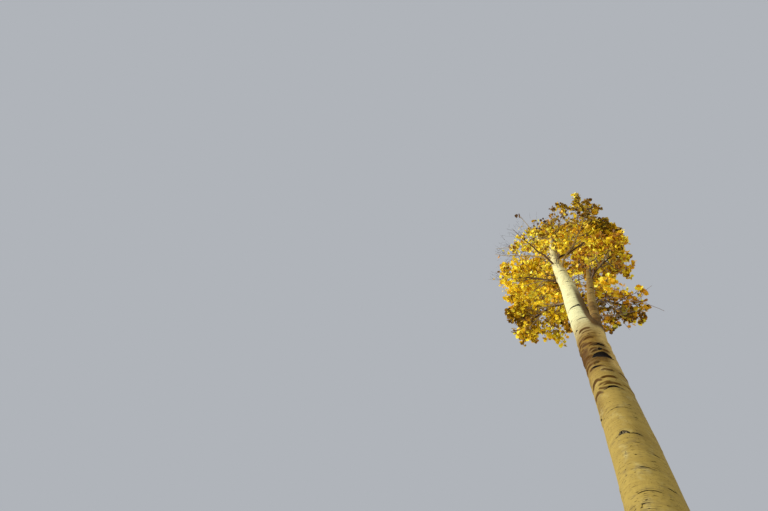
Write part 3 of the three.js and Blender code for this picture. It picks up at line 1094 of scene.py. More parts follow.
    # painted shade: the side that faces the second leader is darkened from the fork up to about 7 m
    toward = np.abs((angle - rad(-24) + math.pi) % (2 * math.pi) - math.pi)
    painted_shade_side = smooth(rad(62), rad(32), toward) * smooth(4.75, 4.95, height) * smooth(7.0, 5.9, height)
    fold = np.maximum(fold, 0.62 * painted_shade_side)
    # the dark crotch between the trunk and the leader: partly a real bark ridge, partly painted shade
    crotch = np.abs((angle - rad(-54) + math.pi) % (2 * math.pi) - math.pi)
    crotch = smooth(rad(17), rad(7), crotch) * smooth(4.84, 4.98, height) * smooth(5.5, 5.3, height)
    fold = np.maximum(fold, 0.85 * crotch)
    # painted light: lighter bark under the folds on the trunk's shaded right side, with less of the brown and
    # painted shade there
    blond = np.abs((angle - rad(-14) + math.pi) % (2 * math.pi) - math.pi)
    blond = blond + 0.14 * noise(turn * (9, 9, 9), 38)
    blond = smooth(rad(56), rad(30), blond) * smooth(4.08, 4.20, height) * smooth(4.94, 4.80, height)
    fold = fold * (1 - 0.6 * blond)

    top = smooth(TRUNK_TOP, 14.2, height)
    radius = radius + relief * (0.15 + 0.85 * top)
    across = np.stack(np.broadcast_arrays(np.cos(angle), np.sin(angle), angle * 0), -1)
    points = middle[:, None, :] + radius[..., None] * across
    ends = np.array((middle[0], middle[-1] + (0, 0, 0.012)))
    corners, counts = tube_faces(len(height), cells)
    length = height[:, 0]
    uv = np.concatenate(
        (strips(length, 2 * math.pi * radius.max(1), cells).reshape(-1, 2), fan_map(cells))
    )

    def spread(values, at_end=0.0):
        return np.concatenate((values.ravel(), (at_end, at_end)))

    made = make_mesh(
        "trunk_bark",
        np.concatenate((points.reshape(-1, 3), ends)),
        corners,
        counts,
        [trunk_bark],
        facts={
            "scar_q": spread(q * 100, 5),
            "scar_t": spread(t * 100, -2),
            "scar_k": spread(kind),
            "halo": spread(halo),
            "blond": spread(0.9 * blond),
            "fold": spread(np.clip(fold, 0, 1)),
            "foot": spread(foot),
        },
        uv=uv,
    )
    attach(made, "root")
    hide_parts("trunk")
    return made


def build_leader():
    cells = 40
    height = np.linspace(LEADER_FOOT, LEADER_TIP, 400)[:, None]
    angle = (2 * math.pi * np.arange(cells) / cells)[None, :]
    middle = axis_of(LEADER, height[:, 0])
    base = through(LEADER, 3, height) / 2
    turn = np.stack(
        np.broadcast_arrays(np.cos(angle) * 0.05, np.sin(angle) * 0.05, height), -1
    )
    relief = 0.0016 * noise(turn * (16, 16, 2.6), 21) + 0.0009 * layered(turn * (34, 34, 8), 22)
    phase = height / 0.075 + 0.8 * noise(turn * (16, 16, 4), 23)
    part = phase - np.floor(phase)
    crease = np.exp(-(((part - 0.5) / 0.12) ** 2)) * smooth(-0.2, 0.4, noise(turn * (16, 16, 9), 24))
    relief = relief - 0.0024 * crease
    fold = 0.80 * crease
    fold = np.maximum(fold, 0.5 * smooth(0.0, 0.7, noise(turn * (12, 12, 5), 27)))
    scars = [
        (6.30, -54, 26, 24, 6, 0, 1),
        (5.75, -92, 26, 7, 6, 4, 1),
        (6.03, -72, 34, 8, 8, 0, 1),
        (6.58, -98, 26, 6, 5, 0, 1),
        (6.84, -78, 28, 8, 5, 0, 1),
        (7.12, -92, 22, 6, 4, 0, 0),
        (5.48, -86, 34, 5, 7, 2, 0),
        (5.24, -92, 34, 5, 7, 0, 0),
        (5.02, -84, 30, 4, 6, 0, 0),
    ]
    for n in range(34):
        big = n % 3 == 0
        scars.append(
            (
                rng.uniform(4.8, 9.5),
                rng.uniform(-180, 180),
                rng.uniform(14, 34),
                rng.uniform(5, 10) if big else rng.uniform(1.5, 3),
                rng.uniform(1, 8),
                rng.uniform(-4, 4),
                1 if big else 0,
            )
        )
    radius = base * np.ones_like(angle)
    q, t, kind, marks, halo = scar_fields(
        np.broadcast_to(height, radius.shape), np.broadcast_to(angle, radius.shape), radius, scars
    )
    relief = relief + 0.6 * marks
    tip = smooth(LEADER_TIP, LEADER_TIP - 0.5, height)
    # painted shade: browner bark on the leader's front, up to about 7 m
    toward = np.abs((angle - rad(-106) + math.pi) % (2 * math.pi) - math.pi)
    fold = np.maximum(fold, 0.30 * smooth(rad(48), rad(24), toward) * smooth(7.6, 6.4, height))
    # it broadens into the trunk
    relief = relief + 0.004 * np.exp(-np.maximum(height - 4.9, 0) / 0.12)
    radius = radius + relief * (0.3 + 0.7 * tip)
    across = np.stack(np.broadcast_arrays(np.cos(angle), np.sin(angle), angle * 0), -1)
    points = middle[:, None, :] + radius[..., None] * across
    ends = np.array((middle[0], middle[-1] + (0, 0, 0.02)))
    corners, counts = tube_faces(len(height), cells)
    uv = np.concatenate(
        (
            strips(height[:, 0] - LEADER_FOOT, 2 * math.pi * radius.max(1), cells).reshape(-1, 2),
            fan_map(cells),
        )
    )

    def spread(values, at_end=0.0):
        return np.concatenate((values.ravel(), (at_end, at_end)))

    made = make_mesh(
        "second_leader_bark",
        np.concatenate((points.reshape(-1, 3), ends)),
        corners,
        counts,
        [leader_bark],
        facts={
            "scar_q": spread(q * 100, 5),
            "scar_t": spread(t * 100, -2),
            "scar_k": spread(kind),
            "halo": spread(halo),
            "fold": spread(np.clip(fold, 0, 1)),
            "foot": spread(fold * 0),
        },
        uv=uv,
    )
    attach(made, "root")
    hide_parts("second_leader")
    return made


def limb(name, line, radius, cells, seed, material):
    """A bough: a tube along a crooked line, with knots, creases and ring scars."""
    side, up = frames_along(line)
    run = np.concatenate(((0,), np.cumsum(np.linalg.norm(np.diff(line, axis=0), axis=1))))
    angle = (2 * math.pi * np.arange(cells) / cells)[None, :]
    length = run[:, None]
    turn = np.stack(
        np.broadcast_arrays(np.cos(angle) * 0.5, np.sin(angle) * 0.5, length), -1
    )
    thin = radius[:, None]
    relief = thin * 0.10 * noise(turn * (2.2, 2.2, 9.0), seed)
    relief = relief + thin * 0.05 * noise(turn * (5, 5, 30.0), seed + 1)
    phase = length / 0.055 + 0.8 * noise(turn * (2, 2, 6), seed + 2)
    part = phase - np.floor(phase)
    crease = np.exp(-(((part - 0.5) / 0.13) ** 2)) * smooth(-0.1, 0.5, noise(turn * (2, 2, 11), seed + 3))
    relief = relief - thin * 0.07 * crease
    # knots where twigs were shed
    dice = np.random.default_rng(SEED + seed)
    knots = np.zeros_like(relief)
    for _ in range(int(4 + run[-1] * 7)):
        at, way = dice.uniform(0.08, run[-1]), dice.uniform(-math.pi, math.pi)
        away = (angle - way + math.pi) % (2 * math.pi) - math.pi
        size = dice.uniform(0.010, 0.020)
        knots = knots + np.exp(-((length - at) / size) ** 2 - (away / 0.55) ** 2)
    relief = relief + thin * 0.22 * np.clip(knots, 0, 1)
    # the foot flares into the stem
    relief = relief + thin * 0.9 * np.exp(-np.maximum(length - 0.05, 0) / 0.045)
    r = thin + relief
    across = (
        np.cos(angle)[..., None] * side[:, None, :] + np.sin(angle)[..., None] * up[:, None, :]
    )
    points = line[:, None, :] + r[..., None] * across
    ahead = line[-1] - line[-2]
    ends = np.array((line[0], line[-1] + ahead / np.linalg.norm(ahead) * radius[-1]))
    corners, counts = tube_faces(len(line), cells)
    uv = np.concatenate(
        (strips(run, 2 * math.pi * r.max(1), cells).reshape(-1, 2), fan_map(cells))
    )
    fold = np.clip(0.6 * crease + 0.5 * knots, 0, 1)
    flat = np.zeros_like(relief)

    def spread(values, at_end=0.0):
        return np.concatenate((values.ravel(), (at_end, at_end)))

    return make_mesh(
        name,
        np.concatenate((points.reshape(-1, 3), ends)),
        corners,
        counts,
        [material],
        facts={
            "scar_q": spread(flat + 5, 5),
            "scar_t": spread(flat - 2, -2),
            "scar_k": spread(flat),
            "halo": spread(flat + 0.25 * np.clip(knots, 0, 1)),
            "fold": spread(fold),
            "foot": spread(flat),
        },
        uv=uv,
    )


def resample(line, radius, step):
    run = np.concatenate(((0,), np.cumsum(np.linalg.norm(np.diff(line, axis=0), axis=1))))
    count = max(6, int(run[-1] / step))
    at = np.linspace(0, run[-1], count)
    return (
        np.stack([np.interp(at, run, line[:, k]) for k in range(3)], -1),
        np.interp(at, run, radius),
    )


trunk = build_trunk()
leader = build_leader()

for mass in masses:
    if mass.drop <= 0:
        continue
    line, radius, _ = mass.bough()
    line, radius = resample(line, radius, 0.016)
    # painted shade: these boughs take the dark copy of the bough bark
    given_painted_shade = mass.name in ("left_low", "low_left", "low_right", "right_low", "right_high", "front_left")
    made = limb(
        "bough_" + mass.name + "_bark",
        line,
        radius,
        14,
        100 + 7 * mass.index,
        dark_bough_bark if given_painted_shade else bough_bark,
    )
    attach(made, "root")
    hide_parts("bough_" + mass.name)


# ------------------------------------------------------------ twigs and where leaves go

# The crown's outline, and how open it is in places, in the photograph's frame
OUTLINE = np.array(
    (
        (566, 199), (580, 195), (597, 197), (609, 205), (616, 216), (619, 228),
        (625, 236), (629, 248), (633, 258), (637, 267), (645, 276), (653, 287),
        (661, 300), (660, 316), (648, 331), (634, 340), (616, 338), (604, 346),
        (588, 352), (574, 351), (560, 356), (540, 356), (520, 354), (507, 349),
        (500, 334), (501, 310), (504, 292), (504, 272), (502, 261), (504, 252),
        (507, 243), (513, 236), (521, 228), (533, 219), (545, 212), (556, 204),
    ),
    float,
)
# middle, half width, half height and how much of the leaf is left there
OPEN = (
    (503, 252, 9, 16, 0.05),
    (507, 236, 24, 16, 0.06),
    (522, 226, 22, 11, 0.09),
    (531, 255, 8, 4, 0.05),
    (515, 258, 14, 4, 0.15),
    (545, 219, 22, 13, 0.22),
    (568, 217, 17, 11, 0.11),
    (590, 213, 20, 10, 0.32),
    (571, 249, 7, 5, 0.30),
    (560, 235, 20, 10, 0.48),
    (586, 199, 28, 7, 0.50),
    (568, 260, 8, 6, 0.01),
    (581, 291, 7, 9, 0.02),
    (581, 280, 7, 4, 0.30),
    (604, 256, 5, 4, 0.30),
    (628, 301, 24, 12, 0.45),
    (640, 320, 18, 12, 0.60),
    (604, 303, 8, 9, 0.35),
    (512, 346, 14, 8, 0.60),
    (552, 349, 10, 6, 0.50),
)
SUN_WAY = np.array((math.cos(rad(-152)), math.sin(rad(-152))))
SUN_RISE = rad(30)


def edge_distance(u, v):
    """How far inside the crown's outline a place is, in px; negative outside."""
    a, b = OUTLINE, np.roll(OUTLINE, -1, axis=0)
    p = np.stack((u, v), -1)[:, None, :]
    along = b - a
    t = np.clip(((p - a) * along).sum(-1) / (along**2).sum(-1), 0, 1)
    gap = np.linalg.norm(p - a - t[..., None] * along, axis=-1).min(1)
    crosses = (a[:, 1] > v[:, None]) != (b[:, 1] > v[:, None])
    x = a[:, 0] + (v[:, None] - a[:, 1]) * along[:, 0] / np.where(along[:, 1] == 0, 1, along[:, 1])
    inside = (crosses & (u[:, None] < x)).sum(1) % 2 == 1
    return np.where(inside, gap, -gap)


def sight_band(stations, low, high):
    """The line of sight to a stem: where it falls in the frame and how wide."""
    h = np.linspace(low, high, 240)
    u, v, far = photo(axis_of(stations, h))
    wide = through(stations, 3, h) / 2 / far * FOCAL_PX * 1.12
    order = np.argsort(v)
    return u[order], v[order], far[order], wide[order]


TRUNK_BAND = sight_band(TRUNK, 2.6, 12.6)
LEADER_BAND = sight_band(LEADER, 4.75, 8.1)


def in_front(points, band, margin):
    """Which points hide a stem from the camera."""
    u, v, far = photo(points)
    bu, bv, bfar, bwide = band
    at = np.interp(v, bv, bu)
    wide = np.interp(v, bv, bwide)
    deep = np.interp(v, bv, bfar)
    inside = (v > bv[0]) & (v < bv[-1])
    return inside & (np.abs(u - at) < wide + margin) & (far < deep), v


def sight_line(name, upto):
    """Where the bare part of a bough falls in the frame, how far and how wide."""
    mass = next(m for m in masses if m.name == name)
    line, radius, run = mass.bough()
    part = run < upto
    u, v, far = photo(line[part])
    return u, v, far, radius[part] / far * FOCAL_PX


# boughs that show from in front, and how much of the leaf before them stays
SHOWN = (
    (sight_line("right_high", 1.45), 0.01),
    (sight_line("left_top", 0.80), 0.12),
    (sight_line("left_mid", 0.62), 0.20),
)


def before(points, sight, margin):
    """Which points hide a bough from the camera."""
    u, v, far = photo(points)
    gap = np.hypot(u[:, None] - sight[0], v[:, None] - sight[1]) - sight[3] - margin
    near = gap.argmin(1)
    return (gap[np.arange(len(near)), near] < 0) & (far < sight[2][near] + 0.03)


def bare_part(name, upto):
    mass = next(m for m in masses if m.name == name)
    line, radius, run = mass.bough()
    picked = np.unique(np.linspace(0, np.count_nonzero(run < upto) - 1, 9).astype(int))
    return line[picked], radius[picked]


# boughs whose bare part stands in the sun
SUNLIT = (bare_part("left_mid", 0.70), bare_part("left_top", 0.80), bare_part("left_high", 0.60))


def shading(points, line, radius, margin):
    """Which points stand between the bare part of a bough and the sun."""
    sun = np.array((*(SUN_WAY * math.cos(SUN_RISE)), math.sin(SUN_RISE)))
    shades = np.zeros(len(points), bool)
    for a, b, thick in zip(line[:-1], line[1:], radius[:-1]):
        along = b - a - ((b - a) @ sun) * sun
        off = points - a
        toward = off @ sun
        off = off - toward[:, None] * sun
        t = np.clip(off @ along / (along @ along), 0, 1)
        gap = np.linalg.norm(off - t[:, None] * along, axis=1)
        shades |= (toward > 0.02) & (gap < thick + margin)
    return shades


def wanted(points, luck):
    """Which leaves stay: inside the outline, not too many in its open places, and
    few in front of the stems or between them and the sun."""
    u, v, _ = photo(points)
    share = 0.02 + 0.98 * smooth(-4, 5, edge_distance(u, v))
    # leaves stand in clumps, with gaps between them
    share = share * (0.27 + 0.73 * smooth(-0.22, 0.06, noise(points * 3.4, 610)))
    for cu, cv, ru, rv, left in OPEN:
        near = np.exp(-((((u - cu) / ru) ** 2 + ((v - cv) / rv) ** 2) ** 2))
        share = share * (1 - (1 - left) * near)
    hides, v = in_front(points, TRUNK_BAND, 2.0)
    share = np.where(hides & (v > 262), 0.012 * share, share)
    share = np.where(hides & (v > 249) & (v <= 262), 0.08 * share, share)
    share = np.where(hides & (v > 242) & (v <= 249), 0.40 * share, share)
    share = np.where(hides & (v <= 242), 0.10 * share, share)
    for sight, left in SHOWN:
        share = np.where(before(points, sight, 1.9), left * share, share)
    hides, v = in_front(points, LEADER_BAND, 1.2)
    share = np.where(hides & (v > 290), 0.10 * share, share)
    share = np.where(hides & (v > 272) & (v <= 290), 0.40 * share, share)
    # leaves toward the sun from the trunk
    off = points - axis_of(TRUNK, points[:, 2])
    toward = off[:, :2] @ SUN_WAY
    beside = np.abs(off[:, 0] * SUN_WAY[1] - off[:, 1] * SUN_WAY[0])
    lit = points[:, 2] - toward * math.tan(SUN_RISE)
    shades = (toward > 0) & (beside < through(TRUNK, 3, lit) / 2 + 0.085)
    share = np.where(shades & (lit > 4.5) & (lit < 12.8), 0.06 * share, share)
    for line, radius in SUNLIT:
        share = np.where(shading(points, line, radius, 0.055), 0.12 * share, share)
    clear = np.linalg.norm(off[:, :2], axis=1) > through(TRUNK, 3, points[:, 2]) / 2 + 0.03
    return (luck < share) & clear


TWIG_TIP = 0.0013


class Tubes:
    """Gathers many thin tubes into joined meshes."""

    def __init__(self):
        self.points, self.corners, self.counts, self.worn = [], [], [], []
        self.total = 0

    def add(self, line, radius, sides, worn):
        side, up = frames_along(line)
        angle = 2 * math.pi * np.arange(sides) / sides
        ring = (
            np.cos(angle)[None, :, None] * side[:, None, :]
            + np.sin(angle)[None, :, None] * up[:, None, :]
        ) * radius[:, None, None] + line[:, None, :]
        n = len(line)
        points = np.concatenate((ring.reshape(-1, 3), line[-1:] + (line[-1:] - line[-2:-1]) * 0.15))
        i = np.arange(n - 1)[:, None]
        j = np.arange(sides)[None, :]
        k = (j + 1) % sides
        quads = np.stack(
            np.broadcast_arrays(i * sides + j, i * sides + k, (i + 1) * sides + k, (i + 1) * sides + j),
            -1,
        ).reshape(-1, 4)
        j = np.arange(sides)
        tip = np.stack((np.full(sides, n * sides), (n - 1) * sides + j, (n - 1) * sides + (j + 1) % sides), -1)
        self.points.append(points)
        self.corners.append(np.concatenate((quads.ravel(), tip.ravel())) + self.total)
        self.counts.append(np.concatenate((np.full(len(quads), 4), np.full(sides, 3))))
        self.worn.append(np.full(len(quads) + sides, worn))
        self.total += len(points)

    def triangles(self):
        return int(sum((c - 2).sum() for c in self.counts))

    def make(self, name, materials):
        return make_mesh(
            name,
            np.concatenate(self.points),
            np.concatenate(self.corners),
            np.concatenate(self.counts),
            materials,
            worn=np.concatenate(self.worn),
        )


def unit(v):
    return v / np.maximum(np.linalg.norm(v, axis=-1, keepdims=True), 1e-9)


def wander(start, way, length, dice, step, lift, crook):
    """A crooked shoot that turns slowly upward: its points and the way at each."""
    count = max(2, int(round(length / step)))
    at, points, ways = np.array(start), [np.array(start)], [way]
    for _ in range(count):
        way = way + dice.normal(size=3) * crook
        way[2] += lift
        way = way / math.sqrt(way @ way)
        at = at + way * (length / count)
        points.append(at)
        ways.append(way)
    return np.array(points), np.array(ways)


def branch_way(ahead, turn, spread):
    """A way that leaves another at an angle, turned round it."""
    side = np.cross(ahead, (0, 0, 1.0))
    size = math.sqrt(side @ side)
    side = side / size if size > 1e-3 else np.array((1.0, 0, 0))
    up = np.cross(side, ahead)
    out = side * math.cos(turn) + up * math.sin(turn)
    if out[2] < -0.2:
        out[2] *= 0.45
    out = out / math.sqrt(out @ out)
    return ahead * math.cos(spread) + out * math.sin(spread)


twigs = Tubes()
sprays = []  # place, way, mass, how old the shoot is: 0 at a tip
bare = []


def leafy(points, ways, first, gap, mass, dice, age):
    """Places for clusters of leaves along a shoot, from a share of its length on."""
    run = np.concatenate(((0,), np.cumsum(np.linalg.norm(np.diff(points, axis=0), axis=1))))
    at = first * run[-1] + dice.uniform(0, gap)
    found = []
    while at < run[-1] - 0.3 * gap:
        spot = np.array([np.interp(at, run, points[:, k]) for k in range(3)])
        k = min(int(np.searchsorted(run, at)), len(ways) - 1)
        found.append((spot, ways[k], mass, age))
        at += gap * dice.uniform(0.7, 1.3)
    found.append((points[-1], ways[-1], mass, 0))
    spots = np.array([f[0] for f in found])
    keep = wanted(spots, dice.random(len(found)))
    return [f for f, k in zip(found, keep) if k]


def tube(points, base, dice, dark):
    """One twig as a tube that thins to its tip."""
    t = np.linspace(0, 1, len(points))
    radius = base + (TWIG_TIP * 0.8 - base) * t**0.85
    sides = 7 if base > 0.008 else 5 if base > 0.0042 else 4 if base > 0.0025 else 3
    worn = 0 if base > 0.0065 else 1 if dice.random() < 0.55 else 2
    twigs.add(points, radius, sides, 2 if dark else worn)


def side_shoots(points, ways, base, mass, dice, first, gap, longest, room=None):
    """Twigs along a branch. Each bears clusters of leaves; one that has lost all
    its leaves mostly goes too. Returns how many clusters they carry."""
    run = np.concatenate(((0,), np.cumsum(np.linalg.norm(np.diff(points, axis=0), axis=1))))
    at = first * run[-1] + dice.uniform(0, gap)
    turn = dice.uniform(0, 6.28)
    carried = 0
    while at < run[-1] - 0.02:
        share = at / run[-1]
        spot = np.array([np.interp(at, run, points[:, k]) for k in range(3)])
        k = min(int(np.searchsorted(run, at)), len(ways) - 1)
        turn += 2.4 + dice.normal(0, 0.5)
        way = branch_way(ways[k], turn, rad(dice.uniform(32, 62)))
        length = dice.uniform(0.45, 1.0) * longest * (1 - 0.45 * share)
        if room is not None:
            length = min(length, room(spot, way) * 1.05 + 0.05)
        line, line_ways = wander(spot, unit(way), length, dice, 0.042, 0.05, 0.11)
        leaves = leafy(line, line_ways, 0.28, LEAF_GAP, mass, dice, 1)
        if leaves or dice.random() < 0.34:
            thick = min(TWIG_TIP * max(len(leaves), 2) ** 0.5 * 1.15, 0.75 * base * (1 - 0.6 * share) + 0.0006)
            tube(line, max(thick, TWIG_TIP), dice, not leaves)
            sprays.extend(leaves)
            carried += len(leaves)
        at += gap * dice.uniform(0.65, 1.4)
    return carried


def branch(start, way, length, most, mass, dice, gap=0.062, longest=0.22, first=0.18, room=None, lift=0.035):
    """A branch with its twigs and leaves. most is the thickest that it may be."""
    line, ways = wander(start, unit(way), length, dice, 0.045, lift, 0.085)
    guess = min(0.0015 * (2 + length * 60) ** 0.5, most)
    carried = side_shoots(line, ways, guess, mass, dice, first, gap, longest, room)
    own = leafy(line, ways, 0.55, LEAF_GAP, mass, dice, 1)
    sprays.extend(own)
    carried += len(own)
    if carried == 0 and dice.random() < 0.6:
        return 0
    tube(line, max(min(guess, TWIG_TIP * max(carried, 3) ** 0.5), TWIG_TIP * 1.2), dice, carried == 0)
    return carried


LEAF_GAP = 0.016
BRANCH_GAP = 0.043

for mass in masses:
    dice = np.random.default_rng(SEED + 1000 + mass.index)

    def room(spot, way, shell=mass.shell):
        start, total, far = Vector(spot), 0.0, 0.0
        for _ in range(6):
            hit = shell.ray_cast(start, Vector(way))
            if hit[0] is None:
                break
            total += hit[3] + 1e-4
            start = hit[0] + Vector(way) * 1e-4
            far = total
        return far

    if mass.drop > 0:
        line, radius, run = mass.bough()
        clothed = 0.16 if mass.name in ("left_low", "low_left") else 0.50
        begin = clothed * np.linalg.norm(mass.middle - mass.foot())
    else:
        h = np.arange(13.5, TRUNK_TOP - 0.03, 0.03)
        line, radius = axis_of(TRUNK, h), through(TRUNK, 3, h) / 2
        run = h - h[0]
        begin = 0.0
    ways = unit(np.gradient(line, axis=0))
    at = begin
    turn = dice.uniform(0, 6.28)
    while at < run[-1] - 0.02:
        spot = np.array([np.interp(at, run, line[:, k]) for k in range(3)])
        thick = float(np.interp(at, run, radius))
        k = min(int(np.searchsorted(run, at)), len(ways) - 1)
        share = (at - begin) / (run[-1] - begin)
        turn += 2.4 + dice.normal(0, 0.4)
        way = branch_way(ways[k], turn, rad(dice.uniform(44, 76) - 22 * share))
        far = room(spot, way)
        if far > 0.06:
            length = min(far * dice.uniform(0.72, 1.14), 0.80)
            most = 0.8 * thick
            branch(spot, way, max(length, 0.10), most, mass.index, dice, room=room)
        elif dice.random() < 0.5:
            branch(spot, way, dice.uniform(0.12, 0.30), 0.7 * thick, mass.index, dice, longest=0.14)
        at += BRANCH_GAP / mass.full * dice.uniform(0.6, 1.4)
    sprays.extend(leafy(line[-8:], ways[-8:], 0.2, LEAF_GAP, mass.index, dice, 0))

# short branches straight from the two stems, between the boughs
dice = np.random.default_rng(SEED + 77)
middles = np.array([m.middle for m in masses])
turn = 0.0
for stations, low, high, gap in ((TRUNK, 6.9, 14.3, 0.115), (LEADER, 6.4, 9.5, 0.16)):
    at = low
    while at < high:
        turn += 2.4 + dice.normal(0, 0.5)
        thick = float(through(stations, 3, at)) / 2
        axis = axis_of(stations, at)
        out = np.array((math.cos(turn), math.sin(turn), 0.0))
        length = dice.uniform(0.28, 0.72) * (1 - 0.45 * smooth(12.0, 14.3, at))
        owner = int(np.argmin(np.linalg.norm(middles - (axis + out * length * 0.7 + (0, 0, 0.15)), axis=1)))
        branch(
            axis + out * thick * 0.7,
            out * 0.8 + np.array((0, 0, 0.62)),
            length,
            min(0.0065, 0.4 * thick),
            owner,
            dice,
            first=0.30,
        )
        at += gap * dice.uniform(0.6, 1.5)

# dead twigs: stem, height (m), bearing, length, rise of each
DEAD = (
    ("leader", 5.30, 10, 0.34, 12),
    ("leader", 5.70, -8, 0.62, 16),
    ("leader", 6.05, 48, 0.44, 30),
    ("leader", 6.30, -14, 0.50, 24),
    ("leader", 6.66, 12, 0.58, 26),
    ("leader", 6.92, -40, 0.40, 34),
    ("trunk", 6.15, 172, 0.26, 30),
    ("trunk", 6.45, 70, 0.40, 24),
    ("trunk", 8.30, -62, 0.30, 40),
    ("trunk", 8.95, 214, 0.34, 34),
    ("trunk", 9.45, 196, 0.42, 20),
    ("trunk", 11.30, 176, 0.60, 18),
    ("trunk", 11.90, 158, 0.52, 26),
    ("trunk", 12.60, 222, 0.44, 30),
)
dice = np.random.default_rng(SEED + 91)
for stem, at, bearing, length, rise in DEAD:
    stations = LEADER if stem == "leader" else TRUNK
    out = np.array((math.cos(rad(bearing)), math.sin(rad(bearing)), 0.0))
    start = axis_of(stations, at) + out * float(through(stations, 3, at)) * 0.4
    way = out * math.cos(rad(rise)) + np.array((0, 0, math.sin(rad(rise))))
    line, ways = wander(start, way, length, dice, 0.04, 0.02, 0.14)
    t = np.linspace(0, 1, len(line))
    twigs.add(line, 0.0058 * (1 - 0.72 * t), 5, 3)
    for k in range(2, len(line) - 1, 2):
        if dice.random() < 0.75:
            side = branch_way(ways[k], dice.uniform(0, 6.28), rad(dice.uniform(35, 65)))
            twiglet, _ = wander(line[k], unit(side), dice.uniform(0.06, 0.22), dice, 0.035, 0.02, 0.16)
            t = np.linspace(0, 1, len(twiglet))
            twigs.add(twiglet, 0.0030 * (1 - 0.68 * t), 4, 3)

twig_materials = [
    plain("twig_pale", lin(138, 116, 76), 0.7),
    plain("twig_brown", lin(96, 72, 46), 0.65),
    plain("twig_dark", lin(62, 44, 28), 0.62),
    plain("twig_dead", lin(128, 104, 84), 0.75),
]

# ---------------------------------------------------------------------- leaves

# One leaf, flat, in units of its own length: the midrib from the stalk to the tip,
# and one edge. Nearly round, a little broader than long, with a short point.
RIB = np.array(((0.0, 0.0), (0.0, 0.42), (0.0, 1.0)))
EDGE = np.array(((0.27, -0.03), (0.475, 0.15), (0.515, 0.43), (0.370, 0.73), (0.115, 0.90)))
BLADE = np.concatenate((RIB, EDGE, EDGE * (-1, 1)))
RIGHT = [(0, 3, 4), (0, 4, 1), (1, 4, 5), (1, 5, 6), (1, 6, 7), (1, 7, 2)]
LEFT = [tuple(n + 5 if n > 2 else n for n in (a, c, b)) for a, b, c in RIGHT]
BLADE_FACES = np.array(RIGHT + LEFT)
STALK_FACES = np.array(((0, 1, 3), (0, 3, 2)))

TINTS = {
    # share when dealt at random, and four shades of its leaves, light to dark; the
    # darker shades are partly real tone and partly painted shade
    "gold": (0.42, ((252, 222, 42), (248, 210, 30), (222, 177, 22), (140, 104, 15))),
    "lemon": (0.23, ((254, 240, 80), (252, 230, 58), (234, 203, 44), (162, 133, 29))),
    "amber": (0.21, ((246, 194, 32), (232, 173, 24), (190, 134, 18), (112, 78, 13))),
    "russet": (0.10, ((182, 124, 28), (152, 101, 22), (112, 74, 17), (76, 50, 13))),
    "green": (0.04, ((214, 202, 56), (192, 180, 48), (152, 142, 38), (102, 92, 24))),
}
SHADE_SHARES = (0.34, 0.64, 0.86)
TINT_NAMES = list(TINTS)
LEAF_LENGTH = 0.054


